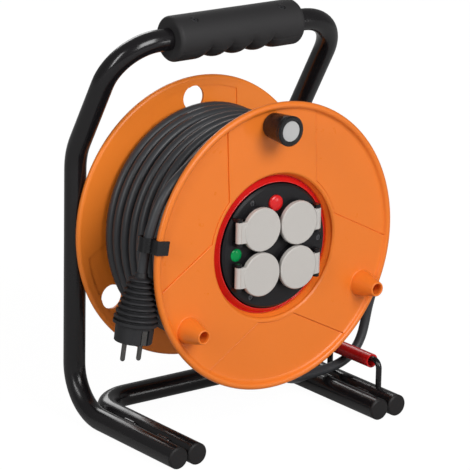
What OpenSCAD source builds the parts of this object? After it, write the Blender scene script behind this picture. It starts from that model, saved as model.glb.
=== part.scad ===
// Extension cord reel: a cantilevered drum on a bent tube frame, with four
// covered socket outlets in the front of the drum.
// Frame: X to the right, Y to the rear, Z up. The origin is on the floor at
// the middle of the frame's footprint.

/* [Tube frame] */
// Outside diameter of the frame tube
tube_d = 22; // [20:0.5:24]
// Wall thickness of the frame tube
tube_wall = 1.5; // [1:0.1:2.5]
// Distance between the outer feet, centre to centre
frame_w = 272; // [262:1:300]
// Length of the feet, from the tube ends to the uprights' centre line
foot_l = 176; // [168:1:200]
// Bend radius of the feet and the top corners, on the centre line
bend_r = 48; // [40:1:60]
// Bend radius of the base frame's rear corners, on the centre line
base_bend_r = 40; // [30:1:60]
// Height where the uprights' and the leaning arms' centre lines meet
lean_z = 274; // [262:1:290]
// Forward lean of the upper arms, in degrees
lean_deg = 30; // [20:1:32]
// Length of the leaning arms, from that corner to the top bar
lean_l = 139; // [136:1:160]
// Bend radius where the uprights start to lean
lean_bend_r = 60; // [40:1:80]
// Gap between the base frame's feet and the outer feet
foot_gap = 0.3; // [0.2:0.1:1]
// Radius of the weld beads between the feet
weld_r = 2.5; // [2:0.25:4]
// Length of each weld bead
weld_l = 14; // [10:1:40]
// Thickness of the head of a foot cap
cap_head = 3; // [2:0.5:5]
// Length of the plug of a foot cap, inside the tube
cap_plug = 14; // [8:1:20]

/* [Grip] */
// Length of the moulded grip
grip_l = 151; // [145:1:165]
// Outside diameter of the grip
grip_d = 45; // [42:1:48]
// Depth of the notches between the fingers
notch = 4.3; // [2:0.1:5]
// Number of finger lobes under the grip
lobes = 5; // [3:1:5]
// Pitch of the finger lobes
lobe_pitch = 24.8; // [20:0.2:26]
// Radius round the ends of the grip
grip_round = 4; // [3:0.5:8]
// Distance of the grip's screws from its middle
grip_screw_x = 53; // [45:1:58]

/* [Drum] */
// Height of the drum's axis above the floor
axis_h = 193; // [190:1:200]
// Outer radius of the flanges
flange_r = 145; // [144:1:147]
// Width of the drum over both flanges
drum_w = 138; // [132:1:144]
// Radius of the rounded bead round each flange
bead_r = 3.5; // [3:0.25:4]
// Thickness of the flanges' webs
web_t = 2.5; // [2:0.1:3.5]
// Depth of the webs behind the outer rim plane
web_in = 4.5; // [4:0.1:6]
// Outer radius of the barrel that the cable is wound on
barrel_r = 88.4; // [88:0.2:89]
// Wall thickness of the barrel
barrel_wall = 2.7; // [2:0.1:3]
// Half width of each of the three flat arms of a flange
arm_half = 53; // [40:1:58]
// Height of the arms above the web
arm_t = 1; // [0.5:0.1:1.5]
// Turn of the arms and bosses, counter-clockwise from the top
arm_turn = 3; // [0:1:10]
// Radius of the circle of bosses, knob and rear holes
boss_pitch_r = 123.5; // [118:0.5:126]
// Diameter of the lightening holes in the rear flange
rear_hole_d = 25; // [18:1:28]
// Length of the crank bosses in front of the rim plane
boss_l = 23; // [16:0.5:24]
// Diameter of a crank boss at its root
boss_root_d = 26; // [20:1:26]
// Diameter of a crank boss at its tip
boss_tip_d = 14.6; // [14:0.2:18]
// Diameter of the hole in a crank boss
boss_bore_d = 11; // [8:0.5:11]
// Gap between the turning rear flange and the frame
frame_gap = 1; // [0.8:0.1:2]

/* [Bearing] */
// Diameter of the axle
axle_d = 20; // [16:1:22]
// Wall thickness of the axle tube
axle_wall = 4; // [3:0.5:5]
// Radial thickness of the bearing bushes
bush_t = 3; // [2:0.5:4]
// Length of each bush
bush_l = 16; // [10:1:20]
// Thickness of the bushes' flanges
bush_flange_t = 1.5; // [1:0.25:2]
// Wall thickness of the hub tube
hub_wall = 4.5; // [3:0.5:6]
// Length of the hub tube
hub_l = 56; // [45:1:60]
// Thickness of the thrust washers
washer_t = 2; // [1:0.25:3]
// Thickness of the retaining ring
ring_t = 1.2; // [1:0.1:1.5]
// Thickness of the ribs behind the rear flange
rib_t = 3; // [2:0.5:4]
// Number of ribs and of barrel screws
rib_n = 6; // [4:1:8]

/* [Socket panel] */
// Radius of the opening in the front flange
open_r = 72.7; // [72:0.1:73]
// Radius of the panel
panel_r = 64.9; // [64:0.1:66]
// Distance of the panel's face behind the rim plane
panel_in = 4.5; // [4:0.5:5]
// Chamfer round the panel
panel_chamfer = 4.5; // [3:0.5:5]
// Thickness of the panel's wall
panel_t = 3; // [2.5:0.1:3.5]
// Distance between the outlets, across
outlet_dx = 45; // [44.5:0.1:46]
// Distance between the outlets, up and down
outlet_dz = 45.5; // [44.5:0.1:46.5]
// Inner diameter of an outlet well
well_d = 38.8; // [38:0.1:39.2]
// Wall thickness of an outlet well
well_wall = 0.9; // [0.8:0.1:1]
// Depth of an outlet well
well_depth = 17.5; // [16:0.5:19]
// Wall thickness of the panel's collar round a well
collar_wall = 1.1; // [0.8:0.1:1.2]
// Height of the collars in front of the panel
collar_h = 5.5; // [4.5:0.1:6]
// Distance between the two contacts of an outlet
pole_pitch = 19; // [19:0.1:19.2]
// Inner diameter of a contact sleeve
contact_d = 4.9; // [4.85:0.05:5.2]
// Diameter of the outlet covers
cover_d = 43.8; // [42:0.1:44]
// Thickness of a cover
cover_t = 5.2; // [4:0.1:6]
// Wall thickness of a cover
cover_wall = 1.8; // [1.2:0.1:2.5]
// Width of a cover's hinge tab
tab_w = 21; // [16:0.5:22]
// Distance of the hinge pins from the panel's middle
hinge_x = 48; // [47.5:0.1:49]
// Diameter of the hinge pins
hinge_pin_d = 2.5; // [2:0.1:3]
// Diameter of the hinge knuckles
knuckle_d = 7; // [6:0.1:7.2]
// Thickness of the hinge lugs
lug_t = 3.2; // [2:0.1:3.4]
// Height of the reset button's middle above the drum's axis
button_z = 44.2; // [43.5:0.1:46]
// Diameter of the reset button
button_d = 16; // [14:0.1:16.4]
// Height of the reset button's dome in front of the panel
button_h = 3.6; // [3:0.1:5]
// Travel of the reset button
button_travel = 2; // [1:0.1:2.2]
// Distance of the lamp's lens to the left of the axis
lens_x = 47; // [46:0.1:48]
// Distance of the lamp's lens below the axis
lens_drop = 1.3; // [0:0.1:2]
// Diameter of the lamp's lens
lens_d = 12.8; // [10:0.1:14]
// Height of the lamp's lens
lens_h = 2; // [1:0.1:3]
// Radius of the circle of panel screws
screw_pitch_r = 55; // [54.5:0.1:56]
// Depth of the closed housing behind the panel
housing_l = 35; // [30:1:40]

/* [Knob] */
// Length of the knob, from the flange's arm to its tip
knob_l = 30; // [26:1:36]
// Diameter of the knob at its foot
knob_foot_d = 25; // [22:0.5:26]
// Diameter of the knob at its tip
knob_tip_d = 30; // [28:0.5:32]
// Diameter of the knob's end cap
knob_cap_d = 20; // [18:0.5:24]
// Diameter of the knob's spindle
spindle_d = 8; // [6:0.5:9]

/* [Cable guide] */
// Diameter of the guide's steel rod
rod_d = 6; // [5:0.5:7]
// Outer diameter of the red sleeve
sleeve_d = 14.4; // [13.4:0.2:14.4]
// Bore of the red sleeve
sleeve_bore = 11; // [9:0.5:11.5]
// Length of the red sleeve
sleeve_l = 56; // [40:1:60]
// Height of the sleeve's axis above the floor
sleeve_z = 46.9; // [45:0.1:46.9]
// Distance of the guide's front leg from the front end of the foot
guide_in = 27.5; // [15:0.5:30]
// Distance between the guide's two legs
guide_l = 78.5; // [72:0.5:90]

/* [Cable] */
// Diameter of the cable
cable_d = 10; // [9:0.1:10.1]
// Pitch of the outer layer of turns
turn_pitch = 13.1; // [12.6:0.1:13.1]
// Number of turns in the outer layer
turns = 8.5; // [6:0.5:8.5]
// Radius of the outer layer's centre line
turns_r = 114.5; // [112:0.5:115]

/* [Plug] */
// Tilt of the hanging plug, in degrees
plug_tilt = 8.5; // [8:0.5:9]
// Diameter of the plug at its pin face
plug_d = 37; // [34:0.5:37]
// Diameter of the plug's collar
plug_collar_d = 43.5; // [40:0.5:44]
// Length of the plug's body
plug_l = 21; // [18:0.5:24]
// Number of ribs on the plug's boot
boot_ribs = 8; // [6:1:9]
// Pitch of the boot's ribs
rib_pitch = 5.3; // [4.8:0.1:5.4]
// Diameter of the boot's last rib, at the cable
boot_top_d = 22; // [20:0.5:28]
// Diameter of the plug's pins
pin_d = 4.8; // [4.7:0.1:4.8]
// Length of the plug's pins
pin_l = 19; // [18:0.5:19]
// Width of the clip that holds the cable on the flange
clip_w = 14; // [10:1:16]
// Thickness of the clip
clip_t = 2; // [1.5:0.1:2.5]
// Length of the clip on the front of the flange
clip_tongue = 12; // [9:1:14]

/* [Hidden] */
$fn = 64;

// clearances
seat = 0.1;
skim = 0.3;
run = 0.05;
weld_gap = 0.05;
over = 1;

// frame
tube_r = tube_d / 2;
foot_x = frame_w / 2;
base_x = foot_x - tube_d - foot_gap;
up_y = (foot_l + cap_head - tube_r) / 2;
foot_y = up_y - foot_l;
lean_tan = lean_bend_r * tan(lean_deg / 2);
// the faint ring that the bending tool leaves where a lean bend ends
draw_mark = 0.05;
draw_mark_l = 2;
top_y = up_y - lean_l * sin(lean_deg);
top_z = lean_z + lean_l * cos(lean_deg);
cap_lip = 0.8;
grip_step = lobe_pitch / 10;
grip_sink = 3;
grip_head_r = 3.1;
weld_y = [foot_y + 0.18 * foot_l, foot_y + 0.5 * foot_l];
weld_h = sqrt(pow(tube_r + 0.6 * weld_r, 2) - pow(tube_r + foot_gap / 2, 2));

// drum
back_y = up_y - tube_r - frame_gap;
front_y = back_y - drum_w;
web_front = front_y + web_in;
web_back = back_y - web_in;
wind_front = web_front + web_t;
wind_back = web_back - web_t;
barrel_in = barrel_r - barrel_wall;
collar_out = open_r + 2.3;
lip_r = open_r - 2.7;
lip_y = web_front + 7;
lip_l = 6;
spots = [90 + arm_turn, 210 + arm_turn, 330 + arm_turn];
ring_inner = open_r + 4.3;
relief_in = barrel_r + 1;
spigot_t = 2;
spigot_l = 6;
relief_out = flange_r - 2 * bead_r - 3;
barrel_boss_r = 4.5;
barrel_boss_l = 24;
barrel_screw_pitch = barrel_in - 3;
barrel_screw_l = 14;
barrel_head_t = 1.8;
ledge_t = 3;
gland_a = 200;

cable_r = cable_d / 2;
gland_r = cable_r + 2;

// bearing
axle_r = axle_d / 2;
bush_in = axle_r + run;
bush_out = axle_r + bush_t;
hub_in = bush_out + run;
hub_out = hub_in + hub_wall;
hub_back = up_y - tube_r - washer_t - seat - bush_flange_t;
hub_front = hub_back - hub_l;
flange_out = bush_out + 2.5;
axle_tip = hub_front - bush_flange_t - washer_t - 2 * seat - ring_t - 3;
groove_y = hub_front - bush_flange_t - washer_t - 3 * seat - ring_t;
groove_r = axle_r - 0.9;
crossbar_bore = axle_r + seat;

// panel stack, from the ring in the flange's opening to the barrel's ledge
face_y = front_y + panel_in;
stack_t = 2;
ring_y = face_y + 0.5;
ring_lip = 1.5;
ring_flat = 3.8;
ring_back = lip_y + lip_l + stack_t + seat;
panel_flange_y = ring_back + seat;
lip_back = panel_flange_y - seat;
housing_y = panel_flange_y + stack_t + seat;
ledge_y = housing_y + stack_t + seat;
bezel_in = panel_r + skim;
housing_flange_r = open_r - 1;
panel_flange_r = panel_r + 4;
housing_r = panel_r - 0.6;
housing_wall = 2;
collar_y = face_y - collar_h;
well_r = well_d / 2;
cup_r = well_r + well_wall;
collar_in = cup_r + seat;
collar_out_r = collar_in + collar_wall;
cup_y = collar_y + 0.2;
cup_floor = cup_y + well_depth;
floor_t = 3;
outlets = [[-1, 1], [1, 1], [-1, -1], [1, -1]];
cover_y = collar_y - skim;
hinge_y = cover_y - 0.2;
hinge_hole = hinge_pin_d / 2 + run;
clip_gauge = 0.8;
clip_wide = 6;
sleeve_wall = 1;
sleeve_len = 13;
button_r = button_d / 2;
button_skirt = 3;
stem_r = 3;
pole_hole = contact_d / 2 + sleeve_wall + seat;
screw_r = 1.5;
screw_head_r = 2.8;
screw_head_t = 1.6;
screw_sink = 2.4;
panel_screw_l = 11;
screw_angles = [0, 120, 240];

// knob
arm_face = web_front - arm_t;
knob_y = arm_face - skim;
knob_tip = knob_y - knob_l;
spindle_r = spindle_d / 2;
spindle_boss_r = spindle_r + 3.5;
spindle_boss_l = 6;
spindle_head_r = spindle_r + 2.2;
spindle_head_t = 3;
spindle_end = arm_face - 18;
cap_t = 1.6;

// guide
rod_r = rod_d / 2;
rod_bend = 8;
guide_y = foot_y + guide_in;
rod_z = sleeve_z + sleeve_bore / 2 - rod_r - run;
sleeve_y = guide_y + (guide_l - sleeve_l) / 2;

// plug and clip, placed from the drum's axis
plug_at = [-155.4, -43.5, -74.25];
pin_shank_r = pin_d / 2 - 0.5;
pin_root = 7.8;
clip_at = [-143.75, -48.5, 22.75];
clip_in = cable_d / 2 + 6 * skim;
boot_y = plug_l + 1;
boot_l = boot_ribs * rib_pitch;
neck_r = cable_d / 2 + 1;
neck_l = 4;
plug_top = boot_y + boot_l + neck_l;
plug_dir = [sin(plug_tilt), 0, cos(plug_tilt)];
plug_mouth = plug_at + plug_top * plug_dir;
clip_r = norm([clip_at[0], clip_at[2]]);
clip_a = atan2(clip_at[2], -clip_at[0]);
clip_y = clip_at[1];

// cable
loop_rings = 24;
turn_sides = 6;
free_sides = 8;
turns_y = wind_front + (wind_back - wind_front - turns * turn_pitch) / 2;
turns_end = 245;
core_r = (turns_r - cable_r) * cos(180 / loop_rings) - skim;
// the free end of the cable, from the loop over the drum to the plug: x, y and height from the axis
tail_pts = [[118, -52, 40], [112, -52, 54], [104, -52, 72], [84, -52, 97], [52, -52, 118], [12, -52, 129], [-30, -52, 128],
    [-69, -52, 114], [-101.6, -52, 90.7], [-118.5, -52, 78.1], [-132.3, -52, 61.9], [-138.2, -51.3, 46.3],
    [-142.7, -50.4, 31.5], [-144.6, -48.1, 18.5]];
// the slack loop through the guide: x, y and height from the floor
loop_pts = [[-6, -53, 70], [24, -48, 48], [56, -36, 38], [78, -8, 29], [141, -4, 27],
    [164, -5, 54], [171, 0, 86], [174, -16, 127], [136, -33, 169], [132, -48, 192]];

// a point on a cubic B-spline segment
function bpt(p, i, t) = (pow(1 - t, 3) * p[i] + (3 * t * t * t - 6 * t * t + 4) * p[i + 1]
    + (-3 * t * t * t + 3 * t * t + 3 * t + 1) * p[i + 2] + t * t * t * p[i + 3]) / 6;
// control points with both ends carried on straight, so that the curve starts and ends on them
function closed_ends(p) = concat([2 * p[0] - p[1]], p, [2 * p[len(p) - 1] - p[len(p) - 2]]);
function smooth(q, n) = concat([for (i = [0:len(q) - 4]) for (k = [0:n - 1]) bpt(q, i, k / n)],
    [bpt(q, len(q) - 4, 1)]);
function unit(v) = v / norm(v);
function heading(p, i) = unit(p[min(i + 1, len(p) - 1)] - p[max(i - 1, 0)]);
function side(h) = unit(cross(h, [0, 1, 0]));
function ring(c, h, r, n) = [for (k = [0:n - 1])
    c + r * cos(360 * k / n) * side(h) + r * sin(360 * k / n) * cross(side(h), h)];

// a closed tube of radius r and n sides swept along points p
module swept(p, r, n) {
    m = len(p);
    pts = [for (i = [0:m - 1]) for (q = ring(p[i], heading(p, i), r, n)) q];
    walls = [for (i = [0:m - 2]) for (k = [0:n - 1]) for (f = [0, 1])
        f == 0 ? [i * n + k, i * n + (k + 1) % n, (i + 1) * n + k]
            : [i * n + (k + 1) % n, (i + 1) * n + (k + 1) % n, (i + 1) * n + k]];
    first = [for (k = [1:n - 2]) [0, k + 1, k]];
    last = [for (k = [1:n - 2]) [(m - 1) * n, (m - 1) * n + k, (m - 1) * n + k + 1]];
    polyhedron(points = pts, faces = concat(walls, first, last));
}

// turns a child's Z axis to point to the rear, on the drum's axis
module along_axis(y) {
    translate([0, y, axis_h]) rotate([-90, 0, 0]) children();
}

// places a child at radius r and angle a of the drum, with Z to the rear
module on_drum(r, a, y) {
    translate([r * cos(a), y, axis_h + r * sin(a)]) rotate([-90, 0, 0]) children();
}

// a ring between two radii from y0 to y1 on the drum's axis
module drum_ring(r0, r1, y0, y1) {
    along_axis(y0) difference() {
        cylinder(r = r1, h = y1 - y0);
        translate([0, 0, -over]) cylinder(r = r0, h = y1 - y0 + 2 * over);
    }
}

// a quarter bend of radius r in the XZ plane, from the X axis towards Z
module elbow(r, a, t) {
    rotate([90, 0, 0]) rotate_extrude(angle = a) translate([r, 0]) circle(r = t);
}

// the outer frame as a rod of radius t, made longer by e at its feet
module whole_frame(t, e) {
    foot_run = foot_l - bend_r;
    lean_run = lean_l - lean_tan - bend_r;
    for (m = [0, 1]) mirror([m, 0, 0]) translate([-foot_x, 0, 0]) {
        translate([0, foot_y - e, tube_r]) rotate([-90, 0, 0]) cylinder(r = t, h = foot_run + e);
        translate([0, up_y - bend_r, tube_r + bend_r]) rotate([0, 0, 90]) rotate([0, 90, 0])
            elbow(bend_r, 90, t);
        translate([0, up_y, tube_r + bend_r]) cylinder(r = t, h = lean_z - lean_tan - tube_r - bend_r);
        translate([0, up_y - lean_bend_r, lean_z - lean_tan]) rotate([0, 0, 90])
            elbow(lean_bend_r, lean_deg, t);
    }
    translate([0, up_y, lean_z]) rotate([lean_deg, 0, 0]) {
        for (m = [0, 1]) mirror([m, 0, 0]) translate([-foot_x, 0, 0]) {
            translate([0, 0, lean_tan]) cylinder(r = t, h = lean_run);
            translate([0, 0, lean_tan - draw_mark_l / 2]) cylinder(r = t + draw_mark, h = draw_mark_l);
            translate([bend_r, 0, lean_l - bend_r]) mirror([1, 0, 0]) elbow(bend_r, 90, t);
        }
        translate([bend_r - foot_x, 0, lean_l]) rotate([0, 90, 0]) cylinder(r = t, h = frame_w - 2 * bend_r);
    }
}

module main_frame() {
    color([0.1, 0.09, 0.1]) difference() {
        whole_frame(tube_r, 0);
        whole_frame(tube_r - tube_wall, over);
    }
}

module half_base(t, e) {
    translate([-base_x, foot_y - e, tube_r]) rotate([-90, 0, 0])
        cylinder(r = t, h = foot_l - base_bend_r + e);
    translate([base_bend_r - base_x, up_y - base_bend_r, tube_r]) rotate([0, 0, 90]) rotate_extrude(angle = 90)
        translate([base_bend_r, 0]) circle(r = t);
    translate([base_bend_r - base_x, up_y, tube_r]) rotate([0, 90, 0])
        cylinder(r = t, h = base_x - base_bend_r);
}

module base_frame() {
    color([0.1, 0.09, 0.1]) difference() {
        union() {
            half_base(tube_r, 0);
            mirror([1, 0, 0]) half_base(tube_r, 0);
        }
        half_base(tube_r - tube_wall, over);
        mirror([1, 0, 0]) half_base(tube_r - tube_wall, over);
    }
}

module foot_rods(r) {
    for (s = [-1, 1]) for (x = [foot_x, base_x])
        translate([s * x, foot_y, tube_r]) rotate([-90, 0, 0]) cylinder(r = r, h = foot_l);
}

module frame_welds() {
    mid = (foot_x + base_x) / 2;
    color([0.12, 0.11, 0.12]) difference() {
        for (s = [-1, 1]) for (y = weld_y)
            translate([s * mid, y, tube_r + weld_h]) rotate([-90, 0, 0]) {
                cylinder(r = weld_r, h = weld_l);
                sphere(r = weld_r);
                translate([0, 0, weld_l]) sphere(r = weld_r);
            }
        foot_rods(tube_r + weld_gap);
    }
}

module foot_caps() {
    fit_r = tube_r - tube_wall - seat;
    color([0.2, 0.19, 0.2]) for (s = [-1, 1]) for (x = [foot_x, base_x])
        translate([s * x, foot_y - cap_head, tube_r]) rotate([-90, 0, 0]) rotate_extrude()
            polygon([[0, 0], [tube_r - cap_lip - 0.6, 0], [tube_r - cap_lip, 0.5], [tube_r, cap_lip + 0.5],
                [tube_r, cap_head - seat], [fit_r, cap_head - seat], [fit_r, cap_head + cap_plug - 1.5],
                [fit_r - 1.5, cap_head + cap_plug], [fit_r - 3, cap_head + cap_plug], [fit_r - 3, cap_head],
                [0, cap_head]]);
}

module crossbar() {
    color([0.1, 0.09, 0.1]) difference() {
        translate([-foot_x, up_y, axis_h]) rotate([0, 90, 0]) cylinder(r = tube_r, h = frame_w);
        translate([-foot_x, up_y, axis_h]) rotate([0, 90, 0]) cylinder(r = tube_r - tube_wall, h = frame_w);
        for (s = [-1, 1]) translate([s * foot_x, up_y, axis_h - 2 * tube_r])
            cylinder(r = tube_r + weld_gap, h = 4 * tube_r);
        along_axis(up_y - 2 * tube_r) cylinder(r = crossbar_bore, h = 2 * tube_r);
    }
}

module axle() {
    end_y = up_y + tube_r - tube_wall - seat;
    bevel = 1;
    color([0.6, 0.61, 0.62]) difference() {
        along_axis(axle_tip) rotate_extrude() polygon([[0, 0], [axle_r - bevel, 0], [axle_r, bevel],
            [axle_r, groove_y - axle_tip - seat], [groove_r, groove_y - axle_tip - seat],
            [groove_r, groove_y - axle_tip + ring_t + seat], [axle_r, groove_y - axle_tip + ring_t + seat],
            [axle_r, up_y - axle_tip], [0, up_y - axle_tip]]);
        along_axis(axle_tip - over) cylinder(r = axle_r - axle_wall, h = up_y - axle_tip + 2 * over);
    }
}

module thrust_washer() {
    color([0.75, 0.76, 0.78])
        drum_ring(axle_r + seat, flange_out, up_y - tube_r - washer_t, up_y - tube_r - run);
}

module end_washer() {
    color([0.75, 0.76, 0.78])
        drum_ring(axle_r + seat, flange_out, hub_front - bush_flange_t - seat - washer_t,
            hub_front - bush_flange_t - seat);
}

module retaining_ring() {
    gap_a = 40;
    color([0.3, 0.3, 0.32]) along_axis(groove_y) rotate([0, 0, 90 + gap_a / 2])
        rotate_extrude(angle = 360 - gap_a) translate([groove_r + run, 0]) square([4, ring_t]);
}

// the grip's radius at x: finger lobes as round arcs of the given depth, with a sharp notch between two
function lobe_at(x, deep) = let (c = lobe_pitch / 2, arc = (c * c + deep * deep) / (2 * deep),
    s = min(max(x / lobe_pitch + lobes / 2, 0.5), lobes - 0.5), u = (s - floor(s) - 0.5) * lobe_pitch)
    grip_d / 2 - arc + sqrt(arc * arc - u * u);
// the grip's outline along its length, smooth or with the finger lobes, and rounded at both ends
function grip_edge(fingers) = let (flat = grip_l / 2 - grip_round, n = floor(flat / grip_step),
    turn = [for (a = [0:15:90]) [flat + grip_round * sin(a), grip_d / 2 - grip_round * (1 - cos(a))]])
    concat([for (k = [6:-1:0]) [-turn[k][0], turn[k][1]]],
        [for (k = [-n:n]) [k * grip_step, fingers ? lobe_at(k * grip_step, notch) : grip_d / 2]], turn);

module grip_half(fingers) {
    bore = tube_r + seat;
    edge = grip_edge(fingers);
    rotate([0, 90, 0]) rotate([0, 0, 90]) rotate_extrude(angle = 180)
        polygon(concat([[bore, -grip_l / 2]], [for (p = edge) [p[1], p[0]]], [[bore, grip_l / 2]]));
}

// places a child on the top bar, with Z along the leaning arms
module on_bar() {
    translate([0, top_y, top_z]) rotate([lean_deg, 0, 0]) children();
}

module grip_upper() {
    color([0.09, 0.09, 0.1]) on_bar() difference() {
        grip_half(false);
        translate([-grip_l / 2 - over, -grip_d, -grip_d]) cube([grip_l + 2 * over, 2 * grip_d, grip_d + run]);
        for (s = [-1, 1]) translate([s * grip_screw_x, 0, grip_d / 2 - grip_sink])
            cylinder(r = grip_head_r + skim, h = grip_sink + over);
    }
}

module grip_lower() {
    color([0.09, 0.09, 0.1]) on_bar() difference() {
        rotate([180, 0, 0]) grip_half(true);
        translate([-grip_l / 2 - over, -grip_d, -run]) cube([grip_l + 2 * over, 2 * grip_d, grip_d]);
    }
}

module grip_screws() {
    head = 1.8;
    key = 1.3;
    color([0.3, 0.3, 0.32]) on_bar() for (s = [-1, 1])
        translate([s * grip_screw_x, 0, grip_d / 2 - grip_sink + run]) difference() {
            cylinder(r = grip_head_r, h = head);
            translate([0, 0, head / 2]) cylinder(r = key, h = head, $fn = 6);
        }
}

module guide_bracket() {
    color([0.1, 0.09, 0.1]) difference() {
        translate([foot_x, guide_y, 0]) {
            for (y = [0, guide_l]) translate([0, y, tube_r]) cylinder(r = rod_r, h = rod_z - rod_bend - tube_r);
            translate([0, rod_bend, rod_z - rod_bend]) rotate([0, 0, -90]) elbow(rod_bend, 90, rod_r);
            translate([0, guide_l - rod_bend, rod_z - rod_bend]) rotate([0, 0, 90]) elbow(rod_bend, 90, rod_r);
            translate([0, rod_bend, rod_z]) rotate([-90, 0, 0]) cylinder(r = rod_r, h = guide_l - 2 * rod_bend);
        }
        foot_rods(tube_r + weld_gap);
    }
}

module guide_sleeve() {
    color([0.6, 0.05, 0.08]) translate([foot_x, sleeve_y, sleeve_z]) rotate([-90, 0, 0]) difference() {
        cylinder(r = sleeve_d / 2, h = sleeve_l);
        translate([0, 0, -over]) cylinder(r = sleeve_bore / 2, h = sleeve_l + 2 * over);
    }
}

// the flat arms of a flange between two radii, as a plate of thickness t, at y
module arm_plate(r0, r1, y, t) {
    along_axis(y) linear_extrude(t) intersection() {
        difference() {
            circle(r = r1);
            circle(r = r0);
        }
        for (a = spots) rotate([0, 0, -a]) translate([0, -arm_half]) square([flange_r, 2 * arm_half]);
    }
}

// the turned part of a flange: bead, web and inner collar, with its outer side at Z = 0
module flange_turned(hole) {
    rotate_extrude() {
        translate([flange_r - bead_r, bead_r]) circle(r = bead_r);
        translate([hole, web_in]) square([flange_r - bead_r - hole, web_t]);
    }
}

module front_flange() {
    color([0.89, 0.48, 0.19]) difference() {
        union() {
            along_axis(front_y) flange_turned(open_r);
            arm_plate(ring_inner, flange_r - bead_r, arm_face, arm_t);
            drum_ring(open_r, ring_inner + run, arm_face, web_front + run);
            along_axis(web_front) rotate_extrude() polygon([[open_r, 0], [collar_out, 0],
                [collar_out, housing_y - web_front], [open_r, housing_y - web_front],
                [open_r, lip_back - web_front], [lip_r, lip_back - web_front], [lip_r, lip_y - web_front],
                [open_r, web_t]]);
            drum_ring(barrel_in - skim - spigot_t, barrel_in - skim, wind_front - run, wind_front + spigot_l);
            for (a = [spots[1], spots[2]]) on_drum(boss_pitch_r, a, front_y - boss_l)
                cylinder(r1 = boss_tip_d / 2, r2 = boss_root_d / 2, h = boss_l + web_in);
            on_drum(boss_pitch_r, spots[0], arm_face - spindle_boss_l)
                cylinder(r = spindle_boss_r, h = spindle_boss_l + arm_t);
        }
        arm_plate(relief_in, relief_out, wind_front - arm_t, arm_t + over);
        for (a = [spots[1], spots[2]]) on_drum(boss_pitch_r, a, front_y - boss_l - over)
            cylinder(r = boss_bore_d / 2, h = boss_l + web_in + web_t + 2 * over);
        on_drum(boss_pitch_r, spots[0], arm_face - spindle_boss_l - over)
            cylinder(r = spindle_r + seat, h = spindle_boss_l + web_t + 2 * over + arm_t);
    }
}

module rear_flange() {
    rib_y = 12;
    color([0.89, 0.48, 0.19]) difference() {
        union() {
            translate([0, back_y, axis_h]) rotate([90, 0, 0]) flange_turned(hub_out);
            arm_plate(ring_inner, flange_r - bead_r, web_back - run, arm_t + run);
            drum_ring(hub_in, hub_out + run, hub_front, hub_back);
            for (k = [0:rib_n - 1]) translate([0, wind_back - rib_y, axis_h]) rotate([0, 30 + 360 * k / rib_n, 0])
                translate([hub_out - over, 0, -rib_t / 2])
                    cube([barrel_in - skim - 3 - hub_out, rib_y + run, rib_t]);
        }
        arm_plate(relief_in, relief_out, wind_back - over, arm_t + over);
        for (a = spots) on_drum(boss_pitch_r, a, wind_back - over)
            cylinder(r = rear_hole_d / 2, h = web_t + arm_t + 2 * over);
        for (k = [0:rib_n - 1]) on_drum(barrel_screw_pitch, 360 * k / rib_n, wind_back - over)
            cylinder(r = screw_r + 2 * seat, h = web_t + arm_t + 2 * over);
    }
}

module drum_barrel() {
    color([0.89, 0.48, 0.19]) difference() {
        union() {
            drum_ring(barrel_in, barrel_r, wind_front + run, wind_back - run);
            drum_ring(panel_r + 1, barrel_in + run, ledge_y, ledge_y + ledge_t);
            for (k = [0:rib_n - 1]) on_drum(barrel_screw_pitch, 360 * k / rib_n, wind_back - run - barrel_boss_l)
                cylinder(r = barrel_boss_r, h = barrel_boss_l);
        }
        for (k = [0:rib_n - 1]) on_drum(barrel_screw_pitch, 360 * k / rib_n, wind_back - barrel_screw_l - 2 * over)
            cylinder(r = screw_r, h = barrel_boss_l);
        at_gland() cylinder(r = gland_r, h = barrel_r + over);
    }
}

module barrel_screws() {
    head_z = barrel_screw_l + web_t + arm_t + seat;
    color([0.7, 0.71, 0.72]) for (k = [0:rib_n - 1])
        on_drum(barrel_screw_pitch, 360 * k / rib_n, wind_back - barrel_screw_l) {
            cylinder(r = screw_r - run, h = head_z + run);
            translate([0, 0, head_z]) cylinder(r = screw_head_r, h = barrel_head_t);
        }
}

module hub_bushes() {
    color([0.85, 0.85, 0.83]) {
        drum_ring(bush_in, bush_out, hub_back - bush_l, hub_back + bush_flange_t);
        drum_ring(bush_out - run, flange_out, hub_back + run, hub_back + bush_flange_t);
        drum_ring(bush_in, bush_out, hub_front - bush_flange_t, hub_front + bush_l);
        drum_ring(bush_out - run, flange_out, hub_front - bush_flange_t, hub_front - run);
    }
}

module bezel_ring() {
    out = open_r - skim;
    tube = lip_r - skim;
    color([0.84, 0.1, 0.12]) along_axis(0) rotate_extrude() polygon([[bezel_in, ring_y], [bezel_in + ring_flat, ring_y],
        [out, ring_y - ring_lip], [out, ring_y + 1], [tube, ring_y + 1 + out - tube], [tube, ring_back],
        [bezel_in, ring_back]]);
}

module at_outlet(o, y) {
    translate([o[0] * outlet_dx / 2, y, axis_h + o[1] * outlet_dz / 2]) rotate([-90, 0, 0]) children();
}

// the hinge lugs of one outlet, which carry its pin
module lugs(o) {
    for (s = [-1, 1]) translate([o[0] * hinge_x, 0, axis_h + o[1] * outlet_dz / 2
            + s * (tab_w / 2 + skim + lug_t / 2) - lug_t / 2]) {
        translate([0, hinge_y, 0]) cylinder(r = knuckle_d / 2 - 0.3, h = lug_t);
        translate([0.3 - knuckle_d / 2, hinge_y, 0]) cube([knuckle_d - 0.6, face_y - hinge_y + 1.6, lug_t]);
    }
}

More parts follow.
